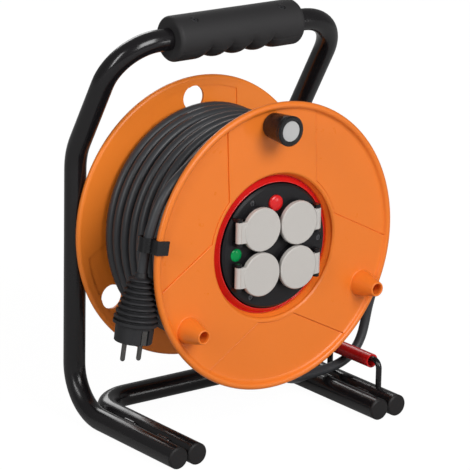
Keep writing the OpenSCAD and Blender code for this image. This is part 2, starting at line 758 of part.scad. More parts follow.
module socket_panel() {
    color([0.1, 0.1, 0.11]) difference() {
        union() {
            along_axis(face_y) rotate_extrude() polygon([[0, 0], [panel_r - panel_chamfer, 0],
                [panel_r, panel_chamfer * 0.85], [panel_r, panel_flange_y - face_y],
                [panel_flange_r, panel_flange_y - face_y], [panel_flange_r, panel_flange_y + stack_t - face_y],
                [panel_r - 2.5, panel_flange_y + stack_t - face_y], [panel_r - 2.5, panel_t], [0, panel_t]]);
            for (o = outlets) {
                at_outlet(o, collar_y) cylinder(r = collar_out_r, h = collar_h + panel_t);
                lugs(o);
            }
            for (a = screw_angles) on_drum(screw_pitch_r, a, face_y + panel_t - run)
                cylinder(r = screw_r + 2, h = housing_y - seat - face_y - panel_t + run);
        }
        for (o = outlets) at_outlet(o, collar_y - over) cylinder(r = collar_in, h = collar_h + panel_t + 2 * over);
        for (o = outlets) translate([o[0] * hinge_x, hinge_y, axis_h + o[1] * outlet_dz / 2 - tab_w])
            cylinder(r = hinge_hole - run, h = 2 * tab_w);
        for (a = screw_angles) on_drum(screw_pitch_r, a, face_y - over)
            cylinder(r = screw_r + seat, h = housing_y - face_y + 2 * over);
        for (a = screw_angles) on_drum(screw_pitch_r, a, face_y - over)
            cylinder(r = screw_head_r + seat, h = over + screw_sink);
        translate([0, face_y - over, axis_h + button_z]) rotate([-90, 0, 0])
            cylinder(r = button_r + skim, h = panel_t + 2 * over);
        translate([-lens_x, face_y - over, axis_h - lens_drop]) rotate([-90, 0, 0])
            cylinder(r = lens_d / 2 - 1.2, h = panel_t + 2 * over);
    }
}

module socket_inserts() {
    color([0.13, 0.13, 0.14]) for (o = outlets) at_outlet(o, cup_y) difference() {
        cylinder(r = cup_r, h = well_depth + floor_t);
        translate([0, 0, -over]) cylinder(r = well_r, h = well_depth + over);
        for (s = [-1, 1]) translate([s * pole_pitch / 2, 0, well_depth - over])
            cylinder(r = pole_hole, h = floor_t + 2 * over);
        for (s = [-1, 1]) translate([-clip_wide / 2 - seat, s * (well_r - 1.2) - 0.7 - seat, well_depth - over])
            cube([clip_wide + 2 * seat, 1.4 + 2 * seat, floor_t + 2 * over]);
    }
}

module earth_clips() {
    t = clip_gauge;
    back = well_depth + floor_t;
    color([0.72, 0.58, 0.3]) for (o = outlets) at_outlet(o, cup_y) for (m = [0, 1]) mirror([0, m, 0])
        translate([-clip_wide / 2, 0, 0]) rotate([90, 0, 90]) linear_extrude(clip_wide)
            polygon([[well_r - 1.6, back], [well_r - 1.6 + t, back], [well_r - 1.6 + t, well_depth - 4],
                [well_r - 2.6 + t, 6], [well_r - 0.5, 2.5], [well_r - 0.5 - t, 2.2], [well_r - 2.6, 6],
                [well_r - 1.6, well_depth - 4]]);
}

module contact_sleeves() {
    color([0.72, 0.58, 0.3]) for (o = outlets) for (s = [-1, 1])
        at_outlet(o, cup_floor + 0.6) translate([s * pole_pitch / 2, 0, 0]) difference() {
            cylinder(r = contact_d / 2 + sleeve_wall, h = sleeve_len);
            translate([0, 0, -over]) cylinder(r = contact_d / 2, h = sleeve_len + over - 1);
        }
}

module socket_housing() {
    gland_x = 30;
    color([0.12, 0.12, 0.13]) difference() {
        along_axis(housing_y) rotate_extrude() polygon([[housing_r - housing_wall, 0], [housing_flange_r, 0],
            [housing_flange_r, stack_t], [housing_r, stack_t], [housing_r, housing_l], [0, housing_l],
            [0, housing_l - housing_wall], [housing_r - housing_wall, housing_l - housing_wall]]);
        translate([gland_x, housing_y, axis_h]) rotate([-90, 0, 0]) cylinder(r = cable_r + 0.5, h = housing_l + over);
    }
}

// a cover in its own frame: hinge axis at the origin along Z, the disc to +X, its face to -Y
module cover_shape() {
    reach = hinge_x - outlet_dx / 2;
    r = cover_d / 2;
    edge = 1.2;
    base = cover_y - hinge_y;
    difference() {
        union() {
            translate([reach, base, 0]) rotate([90, 0, 0]) rotate_extrude() polygon([[0, 0], [r, 0],
                [r, cover_t - edge], [r - edge * 0.35, cover_t - edge * 0.35], [r - edge, cover_t], [0, cover_t]]);
            translate([0, base - cover_t + 0.8, -tab_w / 2]) cube([reach - r + 4, cover_t - 0.8, tab_w]);
            translate([0, 0, -tab_w / 2]) cylinder(r = knuckle_d / 2, h = tab_w);
        }
        translate([reach, base + over, 0]) rotate([90, 0, 0])
            cylinder(r = r - cover_wall, h = cover_t - cover_wall + over);
        translate([0, 0, -tab_w]) cylinder(r = hinge_hole, h = 2 * tab_w);
    }
}

module cover(o) {
    color([0.8, 0.78, 0.76]) translate([o[0] * hinge_x, hinge_y, axis_h + o[1] * outlet_dz / 2])
        if (o[0] < 0) {
            cover_shape();
        } else {
            mirror([1, 0, 0]) cover_shape();
        }
}

module cover_ul() cover(outlets[0]);
module cover_ur() cover(outlets[1]);
module cover_ll() cover(outlets[2]);
module cover_lr() cover(outlets[3]);

module hinge_pins() {
    len_pin = tab_w + 2 * skim + 2 * lug_t;
    color([0.7, 0.71, 0.72]) for (o = outlets)
        translate([o[0] * hinge_x, hinge_y, axis_h + o[1] * outlet_dz / 2 - len_pin / 2])
            cylinder(r = hinge_pin_d / 2, h = len_pin);
}

module reset_button() {
    head = button_h - button_travel + button_skirt;
    dome = 2.2;
    color([0.84, 0.1, 0.12]) translate([0, face_y - button_h, axis_h + button_z]) rotate([-90, 0, 0]) {
        rotate_extrude() polygon(concat([for (k = [0:8]) [button_r * sin(k * 11.25),
            dome * (1 - cos(k * 11.25))]], [[button_r, head], [0, head]]));
        translate([0, 0, head - run]) cylinder(r = stem_r, h = 12);
    }
}

module reset_body() {
    front = face_y + button_skirt + skim;
    color([0.85, 0.84, 0.8]) translate([0, front, axis_h + button_z]) rotate([-90, 0, 0]) difference() {
        cylinder(r = button_r - 1, h = 20);
        translate([0, 0, -over]) cylinder(r = stem_r + run, h = 16);
    }
}

module indicator_lens() {
    color([0.0, 0.55, 0.3]) translate([-lens_x, face_y - lens_h, axis_h - lens_drop]) rotate([-90, 0, 0]) {
        rotate_extrude() polygon(concat([for (k = [0:6]) [lens_d / 2 * sin(k * 12.5),
            lens_h * 0.6 * (1 - cos(k * 15))]], [[lens_d / 2, lens_h * 0.7], [lens_d / 2, lens_h - run],
            [lens_d / 2 - 1.3, lens_h - run], [lens_d / 2 - 1.3, lens_h + 7], [0, lens_h + 7]]));
    }
}

module panel_screws() {
    slot_l = 3.6;
    slot_w = 0.7;
    color([0.12, 0.12, 0.13]) for (a = screw_angles)
        on_drum(screw_pitch_r, a, face_y + screw_sink - seat - screw_head_t) difference() {
            union() {
                cylinder(r = screw_head_r, h = screw_head_t);
                translate([0, 0, screw_head_t - run]) cylinder(r = screw_r, h = panel_screw_l);
            }
            for (t = [0, 90]) rotate([0, 0, t]) translate([-slot_l / 2, -slot_w / 2, -over])
                cube([slot_l, slot_w, over + 0.6 * screw_head_t]);
        }
}

module knob_body() {
    f = knob_foot_d / 2;
    w = knob_tip_d / 2;
    cap_r = knob_cap_d / 2;
    edge = 1.4;
    groove = 3.4;
    color([0.1, 0.1, 0.11]) on_drum(boss_pitch_r, spots[0], knob_tip) rotate_extrude() polygon([
        [cap_r + seat, 0.8], [cap_r + 1, 0], [w - edge, 0], [w, edge], [w - 0.1, groove], [w - 0.7, groove + 0.4],
        [w - 0.7, groove + 1], [w - 0.3, groove + edge], [f, knob_l - 1], [f - 0.8, knob_l],
        [spindle_boss_r + skim, knob_l], [spindle_boss_r + skim, knob_l - spindle_boss_l - skim],
        [spindle_r + run, knob_l - spindle_boss_l - skim], [spindle_r + run, spindle_end - knob_tip + seat],
        [spindle_head_r + skim, spindle_end - knob_tip + seat],
        [spindle_head_r + skim, 3], [cap_r + seat, 3]]);
}

module knob_cap() {
    color([0.75, 0.75, 0.76]) on_drum(boss_pitch_r, spots[0], knob_tip + 1)
        cylinder(r = knob_cap_d / 2, h = cap_t);
}

module knob_spindle() {
    color([0.6, 0.61, 0.62]) on_drum(boss_pitch_r, spots[0], spindle_end - spindle_head_t) {
        cylinder(r = spindle_head_r, h = spindle_head_t);
        cylinder(r = spindle_r, h = spindle_head_t + arm_face + arm_t - spindle_end);
    }
}

// the clip over the flange's rim, bent round the cable; drawn at the drum's left and turned up to its place
module plug_clip() {
    out = clip_in + clip_t;
    wall_x = -flange_r - skim - clip_t;
    color([0.07, 0.07, 0.08]) translate([0, 0, axis_h]) rotate([0, clip_a, 0]) translate([0, 0, -clip_w / 2])
        difference() {
            union() {
                translate([-clip_r, clip_y, 0]) cylinder(r = out, h = clip_w);
                translate([wall_x, front_y - clip_t, 0]) cube([clip_t, clip_y - front_y, clip_w]);
                translate([wall_x, front_y - clip_t, 0]) cube([clip_tongue + clip_t, clip_t - run, clip_w]);
            }
            translate([-clip_r, clip_y, -over]) cylinder(r = clip_in, h = clip_w + 2 * over);
            translate([-clip_r, clip_y, -over]) rotate([0, 0, -15]) cube([2 * out, 2 * out, clip_w + 2 * over]);
        }
}

// turns a child's Z axis to the hole in the barrel where the cable comes out to be wound
module at_gland() {
    translate([0, wind_back - 10, axis_h]) rotate([0, -gland_a, 0]) rotate([0, 90, 0]) children();
}

module cable_gland() {
    tail = 8;
    flange_l = tail - 1;
    color([0.1, 0.1, 0.11]) at_gland() translate([0, 0, barrel_in - tail]) difference() {
        union() {
            cylinder(r = gland_r - seat, h = barrel_wall + tail - skim);
            cylinder(r = gland_r + 2, h = flange_l);
        }
        translate([0, 0, -over]) cylinder(r = cable_r + seat, h = barrel_wall + tail + 2 * over);
    }
}

module cable_core() {
    color([0.13, 0.13, 0.14])
        drum_ring(barrel_r + skim, core_r, wind_front + 2 * skim, wind_back - 2 * skim);
}

// outer layer: the turns advance to the front as they go round counter-clockwise
function turn_pt(a) = [turns_r * cos(turns_end + a), turns_y - turn_pitch * a / 360,
    axis_h + turns_r * sin(turns_end + a)];
turn_dir = unit([-sin(turns_end), 0, cos(turns_end)]);
wound = [for (k = [0:floor(turns * loop_rings)]) turn_pt(360 * (k / loop_rings - turns))];
wound_back = unit(wound[0] - wound[1]);
turn_line = concat([wound[0] + cable_d * wound_back], wound, [wound[len(wound) - 1] + cable_d * turn_dir]);
turn_gap = min([for (i = [0:len(wound) - loop_rings - 1]) norm(wound[i] - wound[i + loop_rings])]) - cable_d;
echo(least_gap_between_turns = turn_gap);

module cable_turns() {
    color([0.16, 0.16, 0.17]) swept(turn_line, cable_r, turn_sides);
}

// the loop starts on the last turn and ends where the tail starts; the tail ends in the plug's boot
turn_end = turn_line[len(turn_line) - 1];
on_axis = [0, 0, axis_h];
tail_start = tail_pts[0] + on_axis;
tail_dir = unit(tail_pts[1] - tail_pts[0]);
loop_line = smooth(closed_ends(concat([for (d = [skim, 12, 24]) turn_end + d * turn_dir], loop_pts,
    [for (d = [24, 12, skim]) tail_start - d * tail_dir])), 3);
tail_line = smooth(closed_ends(concat([for (p = tail_pts) p + on_axis],
    [for (d = [12, seat]) plug_mouth + on_axis + d * plug_dir])), 3);

module cable_loop() {
    color([0.16, 0.16, 0.17]) swept(loop_line, cable_r, free_sides);
}

module cable_tail() {
    color([0.16, 0.16, 0.17]) swept(tail_line, cable_r, free_sides);
}

module on_plug() {
    translate(plug_at + on_axis) rotate([0, plug_tilt, 0]) children();
}

module plug_body() {
    r = plug_d / 2;
    c = plug_collar_d / 2;
    notch_w = 9;
    color([0.13, 0.13, 0.14]) on_plug() difference() {
        rotate_extrude() polygon([[0, 0], [r - 0.8, 0], [r, 0.8], [r + 0.3, plug_l - 4], [c, plug_l - 3],
            [c, plug_l], [0, plug_l]]);
        for (s = [-1, 1]) translate([-notch_w / 2, s * r - 2.2, -over]) cube([notch_w, 4.4, plug_l - 5]);
        for (s = [-1, 1]) translate([s * pole_pitch / 2, 0, -over])
            cylinder(r = pin_shank_r + run, h = pin_root + seat + over);
    }
}

module plug_boot() {
    c = plug_collar_d / 2;
    step = (c - boot_top_d / 2) / boot_ribs;
    color([0.13, 0.13, 0.14]) on_plug() translate([0, 0, plug_l + run]) rotate_extrude() polygon(concat([[0, 0]],
        [for (i = [0:boot_ribs - 1]) each [
            [c - i * step - 2.6, i * rib_pitch],
            [c - i * step - 2.6, i * rib_pitch + 1.6],
            [c - i * step, i * rib_pitch + 2.1],
            [c - i * step, i * rib_pitch + rib_pitch - 0.9]]],
        [[boot_top_d / 2 - 2.6, boot_l], [neck_r, boot_l + 1], [neck_r, boot_l + 1 + neck_l],
            [0, boot_l + 1 + neck_l]]));
}

module plug_pins() {
    r = pin_d / 2;
    color([0.78, 0.78, 0.76]) on_plug() for (s = [-1, 1]) translate([s * pole_pitch / 2, 0, -pin_l])
        rotate_extrude() polygon([[0, 0], [r - 1.3, 0], [r - 0.4, 0.8], [r, 2], [r, pin_l - run],
            [pin_shank_r, pin_l - run], [pin_shank_r, pin_l + pin_root], [0, pin_l + pin_root]]);
}

module plug_earths() {
    color([0.78, 0.78, 0.76]) on_plug() for (s = [-1, 1])
        translate([-3, s * (plug_d / 2 - 1.7) - 0.4, 0.5]) cube([6, 0.8, plug_l - 7]);
}

main_frame();
base_frame();
frame_welds();
foot_caps();
crossbar();
axle();
thrust_washer();
end_washer();
retaining_ring();
grip_upper();
grip_lower();
grip_screws();
guide_bracket();
guide_sleeve();
front_flange();
rear_flange();
drum_barrel();
barrel_screws();
hub_bushes();
bezel_ring();
socket_panel();
socket_inserts();
earth_clips();
contact_sleeves();
socket_housing();
cover_ul();
cover_ur();
cover_ll();
cover_lr();
hinge_pins();
reset_button();
reset_body();
indicator_lens();
panel_screws();
knob_body();
knob_cap();
knob_spindle();
plug_clip();
cable_gland();
cable_core();
cable_turns();
cable_tail();
cable_loop();
plug_body();
plug_boot();
plug_pins();
plug_earths();
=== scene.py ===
"""Extension cord reel: the visual pieces, finishes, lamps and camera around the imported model."""

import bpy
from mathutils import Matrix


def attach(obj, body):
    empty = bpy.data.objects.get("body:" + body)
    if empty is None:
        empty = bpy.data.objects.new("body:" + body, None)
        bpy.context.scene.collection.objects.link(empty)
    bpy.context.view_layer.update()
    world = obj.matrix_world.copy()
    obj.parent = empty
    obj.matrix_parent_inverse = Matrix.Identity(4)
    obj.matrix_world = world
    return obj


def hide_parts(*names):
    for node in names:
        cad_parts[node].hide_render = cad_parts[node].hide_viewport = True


bl_info = {
    "name": "Cord Reel",
    "version": (1, 0, 0),
    "blender": (4, 5, 0),
    "location": "3D View > Sidebar > Cord Reel",
    "description": "Builds the cable, grip, drum and finishes of an extension cord reel",
    "category": "Object",
}

from math import asin, cos, pi, radians, sin, sqrt, tan

import bmesh
import bpy
import numpy as np
from bpy.props import FloatProperty, FloatVectorProperty, IntProperty, PointerProperty
from bpy.types import Operator, Panel, PropertyGroup
from mathutils import Matrix, Vector

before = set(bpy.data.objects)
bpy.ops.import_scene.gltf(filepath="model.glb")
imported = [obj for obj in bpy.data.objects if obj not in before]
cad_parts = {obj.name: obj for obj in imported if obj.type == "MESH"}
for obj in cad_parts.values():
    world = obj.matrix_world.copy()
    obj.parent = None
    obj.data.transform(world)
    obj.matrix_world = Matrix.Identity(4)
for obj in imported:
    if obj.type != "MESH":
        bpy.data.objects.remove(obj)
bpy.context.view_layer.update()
MM = 0.001
AXIS = np.array([0.0, 0.0, 193.0])


# ---- shader trees


class Wire:
    """One output of a shader node, which sums, differences and products carry on with Math nodes."""

    def __init__(self, tree, socket):
        self.tree, self.socket = tree, socket

    def __add__(self, other):
        return self.tree.math("ADD", self, other)

    __radd__ = __add__

    def __sub__(self, other):
        return self.tree.math("SUBTRACT", self, other)

    def __rsub__(self, other):
        return self.tree.math("SUBTRACT", other, self)

    def __mul__(self, other):
        return self.tree.math("MULTIPLY", self, other)

    __rmul__ = __mul__

    def clipped(self):
        """The value held between 0 and 1."""
        return self.tree.node("ShaderNodeClamp", {}, {0: self, 1: 0.0, 2: 1.0})


class Tree:
    """A node tree that is written as calls."""

    def __init__(self, owner, output):
        owner.use_nodes = True
        self.nodes, self.links = owner.node_tree.nodes, owner.node_tree.links
        self.nodes.clear()
        self.end = self.nodes.new(output)

    def node(self, kind, settings=None, values=None, out=0):
        """Makes a node. A value that is a Wire is linked to its socket; any other stands on it."""
        made = self.nodes.new(kind)
        for key, value in (settings or {}).items():
            setattr(made, key, value)
        for key, value in (values or {}).items():
            if isinstance(value, Wire):
                self.links.new(value.socket, made.inputs[key])
            else:
                made.inputs[key].default_value = value
        return Wire(self, made.outputs[out])

    def math(self, operation, *parts):
        return self.node("ShaderNodeMath", {"operation": operation}, dict(enumerate(parts)))

    def mix(self, share, low, high):
        """The colour low where share is 0, and high where it is 1."""
        values = {0: share, 6: low, 7: high}
        return self.node("ShaderNodeMix", {"data_type": "RGBA"}, values, out=2)

    def shown(self, glossy):
        """1 for what the camera sees, straight or through a clear piece, glossy for what is mirrored,
        and 0 for the light that falls on other surfaces."""
        seen = self.node("ShaderNodeLightPath")
        outputs = seen.socket.node.outputs
        mirrored, through = (Wire(self, outputs[name]) for name in ("Is Glossy Ray", "Is Transmission Ray"))
        return (seen + mirrored * glossy + through).clipped()

    def finish(self, shader):
        self.links.new(shader.socket, self.end.inputs["Surface"])


class Finish(Tree):
    """A material of the reel, on Object coordinates in metres."""

    def __init__(self, name):
        self.material = bpy.data.materials.new(name)
        super().__init__(self.material, "ShaderNodeOutputMaterial")
        self.place = self.node("ShaderNodeTexCoord", out=3)

    def noise(self, size, detail=2.0, rough=0.5, at=None):
        """Cloudy noise whose patches are about size metres across."""
        values = {"Vector": at or self.place, "Scale": 1.0 / size, "Detail": detail, "Roughness": rough}
        return self.node("ShaderNodeTexNoise", {}, values)

    def stretched(self, sx, sy, sz):
        """Object coordinates scaled along each axis, for marks that run one way."""
        return self.node("ShaderNodeMapping", {}, {"Vector": self.place, "Scale": (sx, sy, sz)})

    def step(self, value, low, high):
        """0 below low and 1 above high, smooth between."""
        settings = {"interpolation_type": "SMOOTHSTEP"}
        return self.node("ShaderNodeMapRange", settings, {0: value, 1: low, 2: high})

    def bump(self, height, depth, strength=1.0):
        """The surface's direction as bent by height, where 1 stands depth metres out."""
        return self.node("ShaderNodeBump", {}, {"Height": height, "Distance": depth, "Strength": strength})

    def skin(self, colour, rough, normal, shine=0.5, metal=0.0):
        """The plain surface shader; shine is the strength of its mirror layer."""
        values = {"Base Color": colour, "Roughness": rough, "Normal": normal, "Specular IOR Level": shine,
                  "Metallic": metal}
        self.finish(self.node("ShaderNodeBsdfPrincipled", {}, values))
        return self.material


def rgba(colour, gain=1.0):
    """A colour property as four numbers, made lighter or darker by gain."""
    return (*[min(1.0, c * gain) for c in colour], 1.0)


# ---- finishes


def gloss_paint(name, colour):
    """Stoved gloss paint on steel tube: faint orange peel, and softer patches from handling."""
    f = Finish(name)
    handled = f.step(f.noise(0.05, 4, 0.6), 0.45, 0.75)
    peel = f.noise(0.0022, 1)
    dust = f.step(f.noise(0.0016, 3, 0.7), 0.66, 0.74) * 0.35
    tone = f.mix(dust * handled, rgba(colour), rgba((0.05, 0.047, 0.045)))
    return f.skin(tone, 0.2 + 0.12 * handled, f.bump(peel, 0.00004, 0.5))


def moulded(name, colour, rough, grain=0.0007, depth=0.00003, wander=0.06, shine=0.5):
    """Moulded plastic: a spark-eroded grain, a slow drift of tone and slightly polished patches."""
    f = Finish(name)
    drift = f.noise(0.06, 3, 0.55)
    fine = f.noise(grain, 2, 0.6)
    rubbed = f.step(f.noise(0.018, 5, 0.65), 0.5, 0.8)
    tone = f.mix(drift, rgba(colour, 1 - wander), rgba(colour, 1 + wander))
    tone = f.mix(f.step(fine, 0.3, 0.75) * 0.25, tone, rgba(colour, 1 - 2 * wander))
    return f.skin(tone, rough - 0.1 * rubbed + 0.08 * fine, f.bump(fine, depth), shine)


def gloss_plastic(name, colour):
    """Polished plastic with a faint flow pattern and fine hairline scuffs."""
    f = Finish(name)
    flow = f.noise(0.02, 3, 0.5)
    hair = f.step(f.noise(0.0006, 4, 0.7, f.stretched(1, 0.12, 0.35)), 0.62, 0.7)
    tone = f.mix(flow, rgba(colour, 0.9), rgba(colour, 1.08))
    return f.skin(tone, 0.2 + 0.08 * flow + 0.2 * hair, f.bump(f.noise(0.004, 2), 0.00003, 0.4))


def metal(name, colour, rough, along=(1, 1, 1)):
    """Bare or plated metal with drawn or turned lines along one way and cloudy patches."""
    f = Finish(name)
    lines = f.noise(0.0009, 4, 0.7, f.stretched(*along))
    cloud = f.noise(0.008, 3, 0.6)
    tone = f.mix(cloud, rgba(colour, 0.82), rgba(colour, 1.1))
    return f.skin(tone, rough + 0.12 * lines, f.bump(lines, 0.00001), metal=1.0)


def rubber_sheath(name, colour, chalk):
    """Cable rubber: a fine extruded grain along the cable, talc in patches and a soft sheen."""
    f = Finish(name)
    run = f.node("ShaderNodeUVMap", {"uv_map": "Along"})
    stretched = f.node("ShaderNodeMapping", {}, {"Vector": run, "Scale": (1, 14, 1)})
    drawn = f.noise(0.02, 3, 0.6, stretched)
    fine = f.noise(0.0006, 2, 0.6)
    talc = f.step(f.noise(0.012, 5, 0.65), 0.5, 0.78)
    tone = f.mix(drawn, rgba(colour, 0.85), rgba(colour, 1.2))
    tone = f.mix(talc * 0.3, tone, rgba(chalk))
    bump = f.bump(fine + drawn * 0.6, 0.00004, 0.8)
    return f.skin(tone, 0.34 + 0.14 * talc + 0.08 * fine, bump, shine=0.4)


def moulded_rubber(name, colour, rough=0.5):
    """Rubber moulding with a satin skin, fine pits and a dusty bloom."""
    f = Finish(name)
    fine = f.noise(0.0005, 2, 0.6)
    bloom = f.step(f.noise(0.01, 4, 0.6), 0.45, 0.8)
    tone = f.mix(bloom * 0.4, rgba(colour), rgba(colour, 1.5))
    return f.skin(tone, rough + 0.15 * bloom, f.bump(fine, 0.00003, 0.8), shine=0.3)


def clear_lens(name, colour):
    """Tinted lamp lens: deep colour under a hard gloss, with a faint moulded ribbing behind."""
    f = Finish(name)
    rib = f.node("ShaderNodeTexWave", {"wave_type": "RINGS", "rings_direction": "SPHERICAL"},
                 {"Vector": f.place, "Scale": 420.0, "Distortion": 0.4})
    tone = f.mix(rib * 0.35, rgba(colour, 0.75), rgba(colour, 1.3))
    return f.skin(tone, 0.08 + 0.05 * rib, f.bump(rib, 0.00002, 0.3), shine=0.25)


# ---- mesh making


def unit(v):
    """Each vector divided by its length."""
    return v / np.linalg.norm(v, axis=-1, keepdims=True)


def smooth(value, low, high):
    """0 below low, 1 above high, and between them three squares less two cubes of the share."""
    t = np.clip((value - low) / (high - low), 0, 1)
    return t * t * (3 - 2 * t)


def headings(path):
    """The direction at each point of a path: from the point before it to the one after."""
    ends = np.concatenate([path[:1], path, path[-1:]])
    return unit(ends[2:] - ends[:-2])


def grid_quads(rows, cols, closed_rows=False, closed_cols=True):
    """The faces of a grid of rows by cols points, joined round where an edge is closed."""
    r = np.arange(rows if closed_rows else rows - 1)[:, None]
    c = np.arange(cols if closed_cols else cols - 1)[None, :]
    r2, c2 = (r + 1) % rows, (c + 1) % cols
    return np.stack([r * cols + c, r * cols + c2, r2 * cols + c2, r2 * cols + c], -1).reshape(-1, 4)


def end_fans(rings, sides):
    """Triangles that close the first and the last of a grid's rings, each round its own point, which
    stand in this order after the grid's."""
    k = np.arange(sides)
    k2, last, pole = (k + 1) % sides, (rings - 1) * sides, np.full(sides, rings * sides)
    return np.concatenate([np.stack([k2, k, pole], -1), np.stack([last + k, last + k2, pole + 1], -1)])


def mesh_of(name, points, quads, tris=(), uv=None):
    """Puts points in millimetres, four-sided faces and triangles into a mesh as whole arrays."""
    mesh = bpy.data.meshes.new(name)
    corners = np.concatenate([np.ravel(quads), np.ravel(tris)]).astype(np.int32)
    sizes = np.concatenate([np.full(len(quads), 4), np.full(len(tris), 3)])
    mesh.vertices.add(len(points))
    mesh.vertices.foreach_set("co", (np.asarray(points, float) * MM).ravel())
    mesh.loops.add(len(corners))
    mesh.loops.foreach_set("vertex_index", corners)
    mesh.polygons.add(len(sizes))
    mesh.polygons.foreach_set("loop_start", np.concatenate([[0], np.cumsum(sizes)[:-1]]).astype(np.int32))
    mesh.update(calc_edges=True)
    if uv is not None:
        mesh.uv_layers.new(name="Along").data.foreach_set("uv", uv[corners].ravel())
    return mesh


def placed(name, data):
    """An object with that data, linked to the scene."""
    made = bpy.data.objects.new(name, data)
    bpy.context.scene.collection.objects.link(made)
    return made


def piece(mesh, name, finish, body, slot, replaces=(), crease=32.0):
    """Makes the mesh a shown object with a finish and the body that it rides on; slot is not used."""
    mesh.polygons.foreach_set("use_smooth", np.ones(len(mesh.polygons), bool))
    mesh.set_sharp_from_angle(angle=radians(crease))
    mesh.materials.clear()
    mesh.materials.append(finish)
    made = placed(name, mesh)
    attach(made, body)
    if replaces:
        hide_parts(*replaces)
    return made


def tube(name, path, radius, sides, side, inner=None):
    """A round tube on a path: each ring is the point plus radius times the cosine of the angle
    along side and its sine along the direction crossed with side. With inner it has a wall."""
    path = np.asarray(path, float)
    ahead = headings(path)
    side = np.broadcast_to(side, path.shape)
    side = unit(side - ahead * (side * ahead).sum(-1, keepdims=True))
    up = np.cross(ahead, side)
    turn = np.arange(sides) * 2 * pi / sides
    spoke = np.cos(turn)[:, None] * side[:, None] + np.sin(turn)[:, None] * up[:, None]
    n = len(path)
    outer = (path[:, None] + radius * spoke).reshape(-1, 3)
    walls = grid_quads(n, sides)
    run = np.concatenate([[0], np.cumsum(np.linalg.norm(np.diff(path, axis=0), axis=1))]) * MM
    uv = np.stack(np.broadcast_arrays(run[:, None], turn / (2 * pi)), -1).reshape(-1, 2)
    if inner is None:
        points = np.concatenate([outer, path[:1], path[-1:]])
        return mesh_of(name, points, walls, end_fans(n, sides), np.concatenate([uv, uv[:1], uv[-1:]]))
    bore = (path[:, None] + inner * spoke).reshape(-1, 3)
    k, b, last = np.arange(sides), n * sides, (n - 1) * sides
    k2 = (k + 1) % sides
    rims = np.concatenate([np.stack([k2, k, b + k, b + k2], -1),
                           np.stack([last + k, last + k2, b + last + k2, b + last + k], -1)])
    return mesh_of(name, np.concatenate([outer, bore]), np.concatenate([walls, walls[:, ::-1] + b, rims]),
                   uv=np.concatenate([uv, uv]))


def turned(name, profile, segments, origin, axis=(0, -1, 0), across=(1, 0, 0), closed=False):
    """A lathe shape: each point of the profile, given as radius and distance along the axis, goes
    round the axis. An open profile starts and ends on the axis; a closed one is a ring."""
    profile = np.asarray(profile, float)
    axis, across = unit(np.array(axis, float)), unit(np.array(across, float))
    other = np.cross(axis, across)
    turn = np.arange(segments) * 2 * pi / segments
    spoke = np.cos(turn)[:, None] * across + np.sin(turn)[:, None] * other
    rows = profile if closed else profile[1:-1]
    grid = rows[:, 0][:, None, None] * spoke + rows[:, 1][:, None, None] * axis + origin
    points = grid.reshape(-1, 3)
    quads = grid_quads(len(rows), segments, closed_rows=closed)
    if closed:
        return mesh_of(name, points, quads)
    poles = np.stack([profile[0, 1] * axis + origin, profile[-1, 1] * axis + origin])
    return mesh_of(name, np.concatenate([points, poles]), quads, end_fans(len(rows), segments))


def rounded(corners, radius, steps=5):
    """A profile with each inner corner replaced by an arc of about radius: the arc's control point
    is the corner, and it starts and ends radius away from it or at half the shorter side."""
    p = np.asarray(corners, float)
    before, after = p[:-2] - p[1:-1], p[2:] - p[1:-1]
    lb, la = np.linalg.norm(before, axis=1), np.linalg.norm(after, axis=1)
    reach = np.minimum(radius, 0.48 * np.minimum(lb, la))
    a = p[1:-1] + before / lb[:, None] * reach[:, None]
    b = p[1:-1] + after / la[:, None] * reach[:, None]
    t = np.linspace(0, 1, steps + 1)[None, :, None]
    arcs = (1 - t) ** 2 * a[:, None] + 2 * t * (1 - t) * p[1:-1, None] + t ** 2 * b[:, None]
    return np.concatenate([p[:1], arcs.reshape(-1, 2), p[-1:]])


# a CAD copy's edges: degrees from which one is sharp, and under which two faces are one
CAD_CREASE, FLAT_WITHIN = 30.0, 0.4


def cad_copy(node, name, finish, body, slot, shape=None, edge=None):
    """A CAD node's own shape with its points merged, so that its round walls shade smoothly. shape
    is a function that moves the points, in millimetres, and edge is the width of the bevel that its
    sharp edges get."""
    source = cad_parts[node].data
    points = np.empty(len(source.vertices) * 3)
    source.vertices.foreach_get("co", points)
    corners = np.empty(len(source.loops), np.int32)
    source.loops.foreach_get("vertex_index", corners)
    keys, where = np.unique(np.round(points.reshape(-1, 3), 7), axis=0, return_inverse=True)
    faces = where.reshape(-1)[corners].reshape(-1, 3)
    bad = (faces[:, 0] == faces[:, 1]) | (faces[:, 1] == faces[:, 2]) | (faces[:, 0] == faces[:, 2])
    keys = keys / MM if shape is None else shape(keys / MM)
    mesh = mesh_of(name, keys, (), faces[~bad])
    made = piece(mesh, name, finish, body, slot, [node], CAD_CREASE)
    if edge:
        flat = made.modifiers.new("Whole faces", "DECIMATE")
        flat.decimate_type, flat.angle_limit = "DISSOLVE", radians(FLAT_WITHIN)
        bevel = made.modifiers.new("Worn edges", "BEVEL")
        bevel.width, bevel.segments, bevel.limit_method = edge * MM, 2, "ANGLE"
        bevel.angle_limit, bevel.use_clamp_overlap = radians(CAD_CREASE), False
    even = made.modifiers.new("Even shading", "WEIGHTED_NORMAL")
    even.keep_sharp = True


def dress(finish, *nodes):
    """Gives CAD nodes that keep their own mesh a finish."""
    for node in nodes:
        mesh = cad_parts[node].data
        mesh.materials.clear()
        mesh.materials.append(finish)


# ---- cable routes


SPAN_STEPS = 10


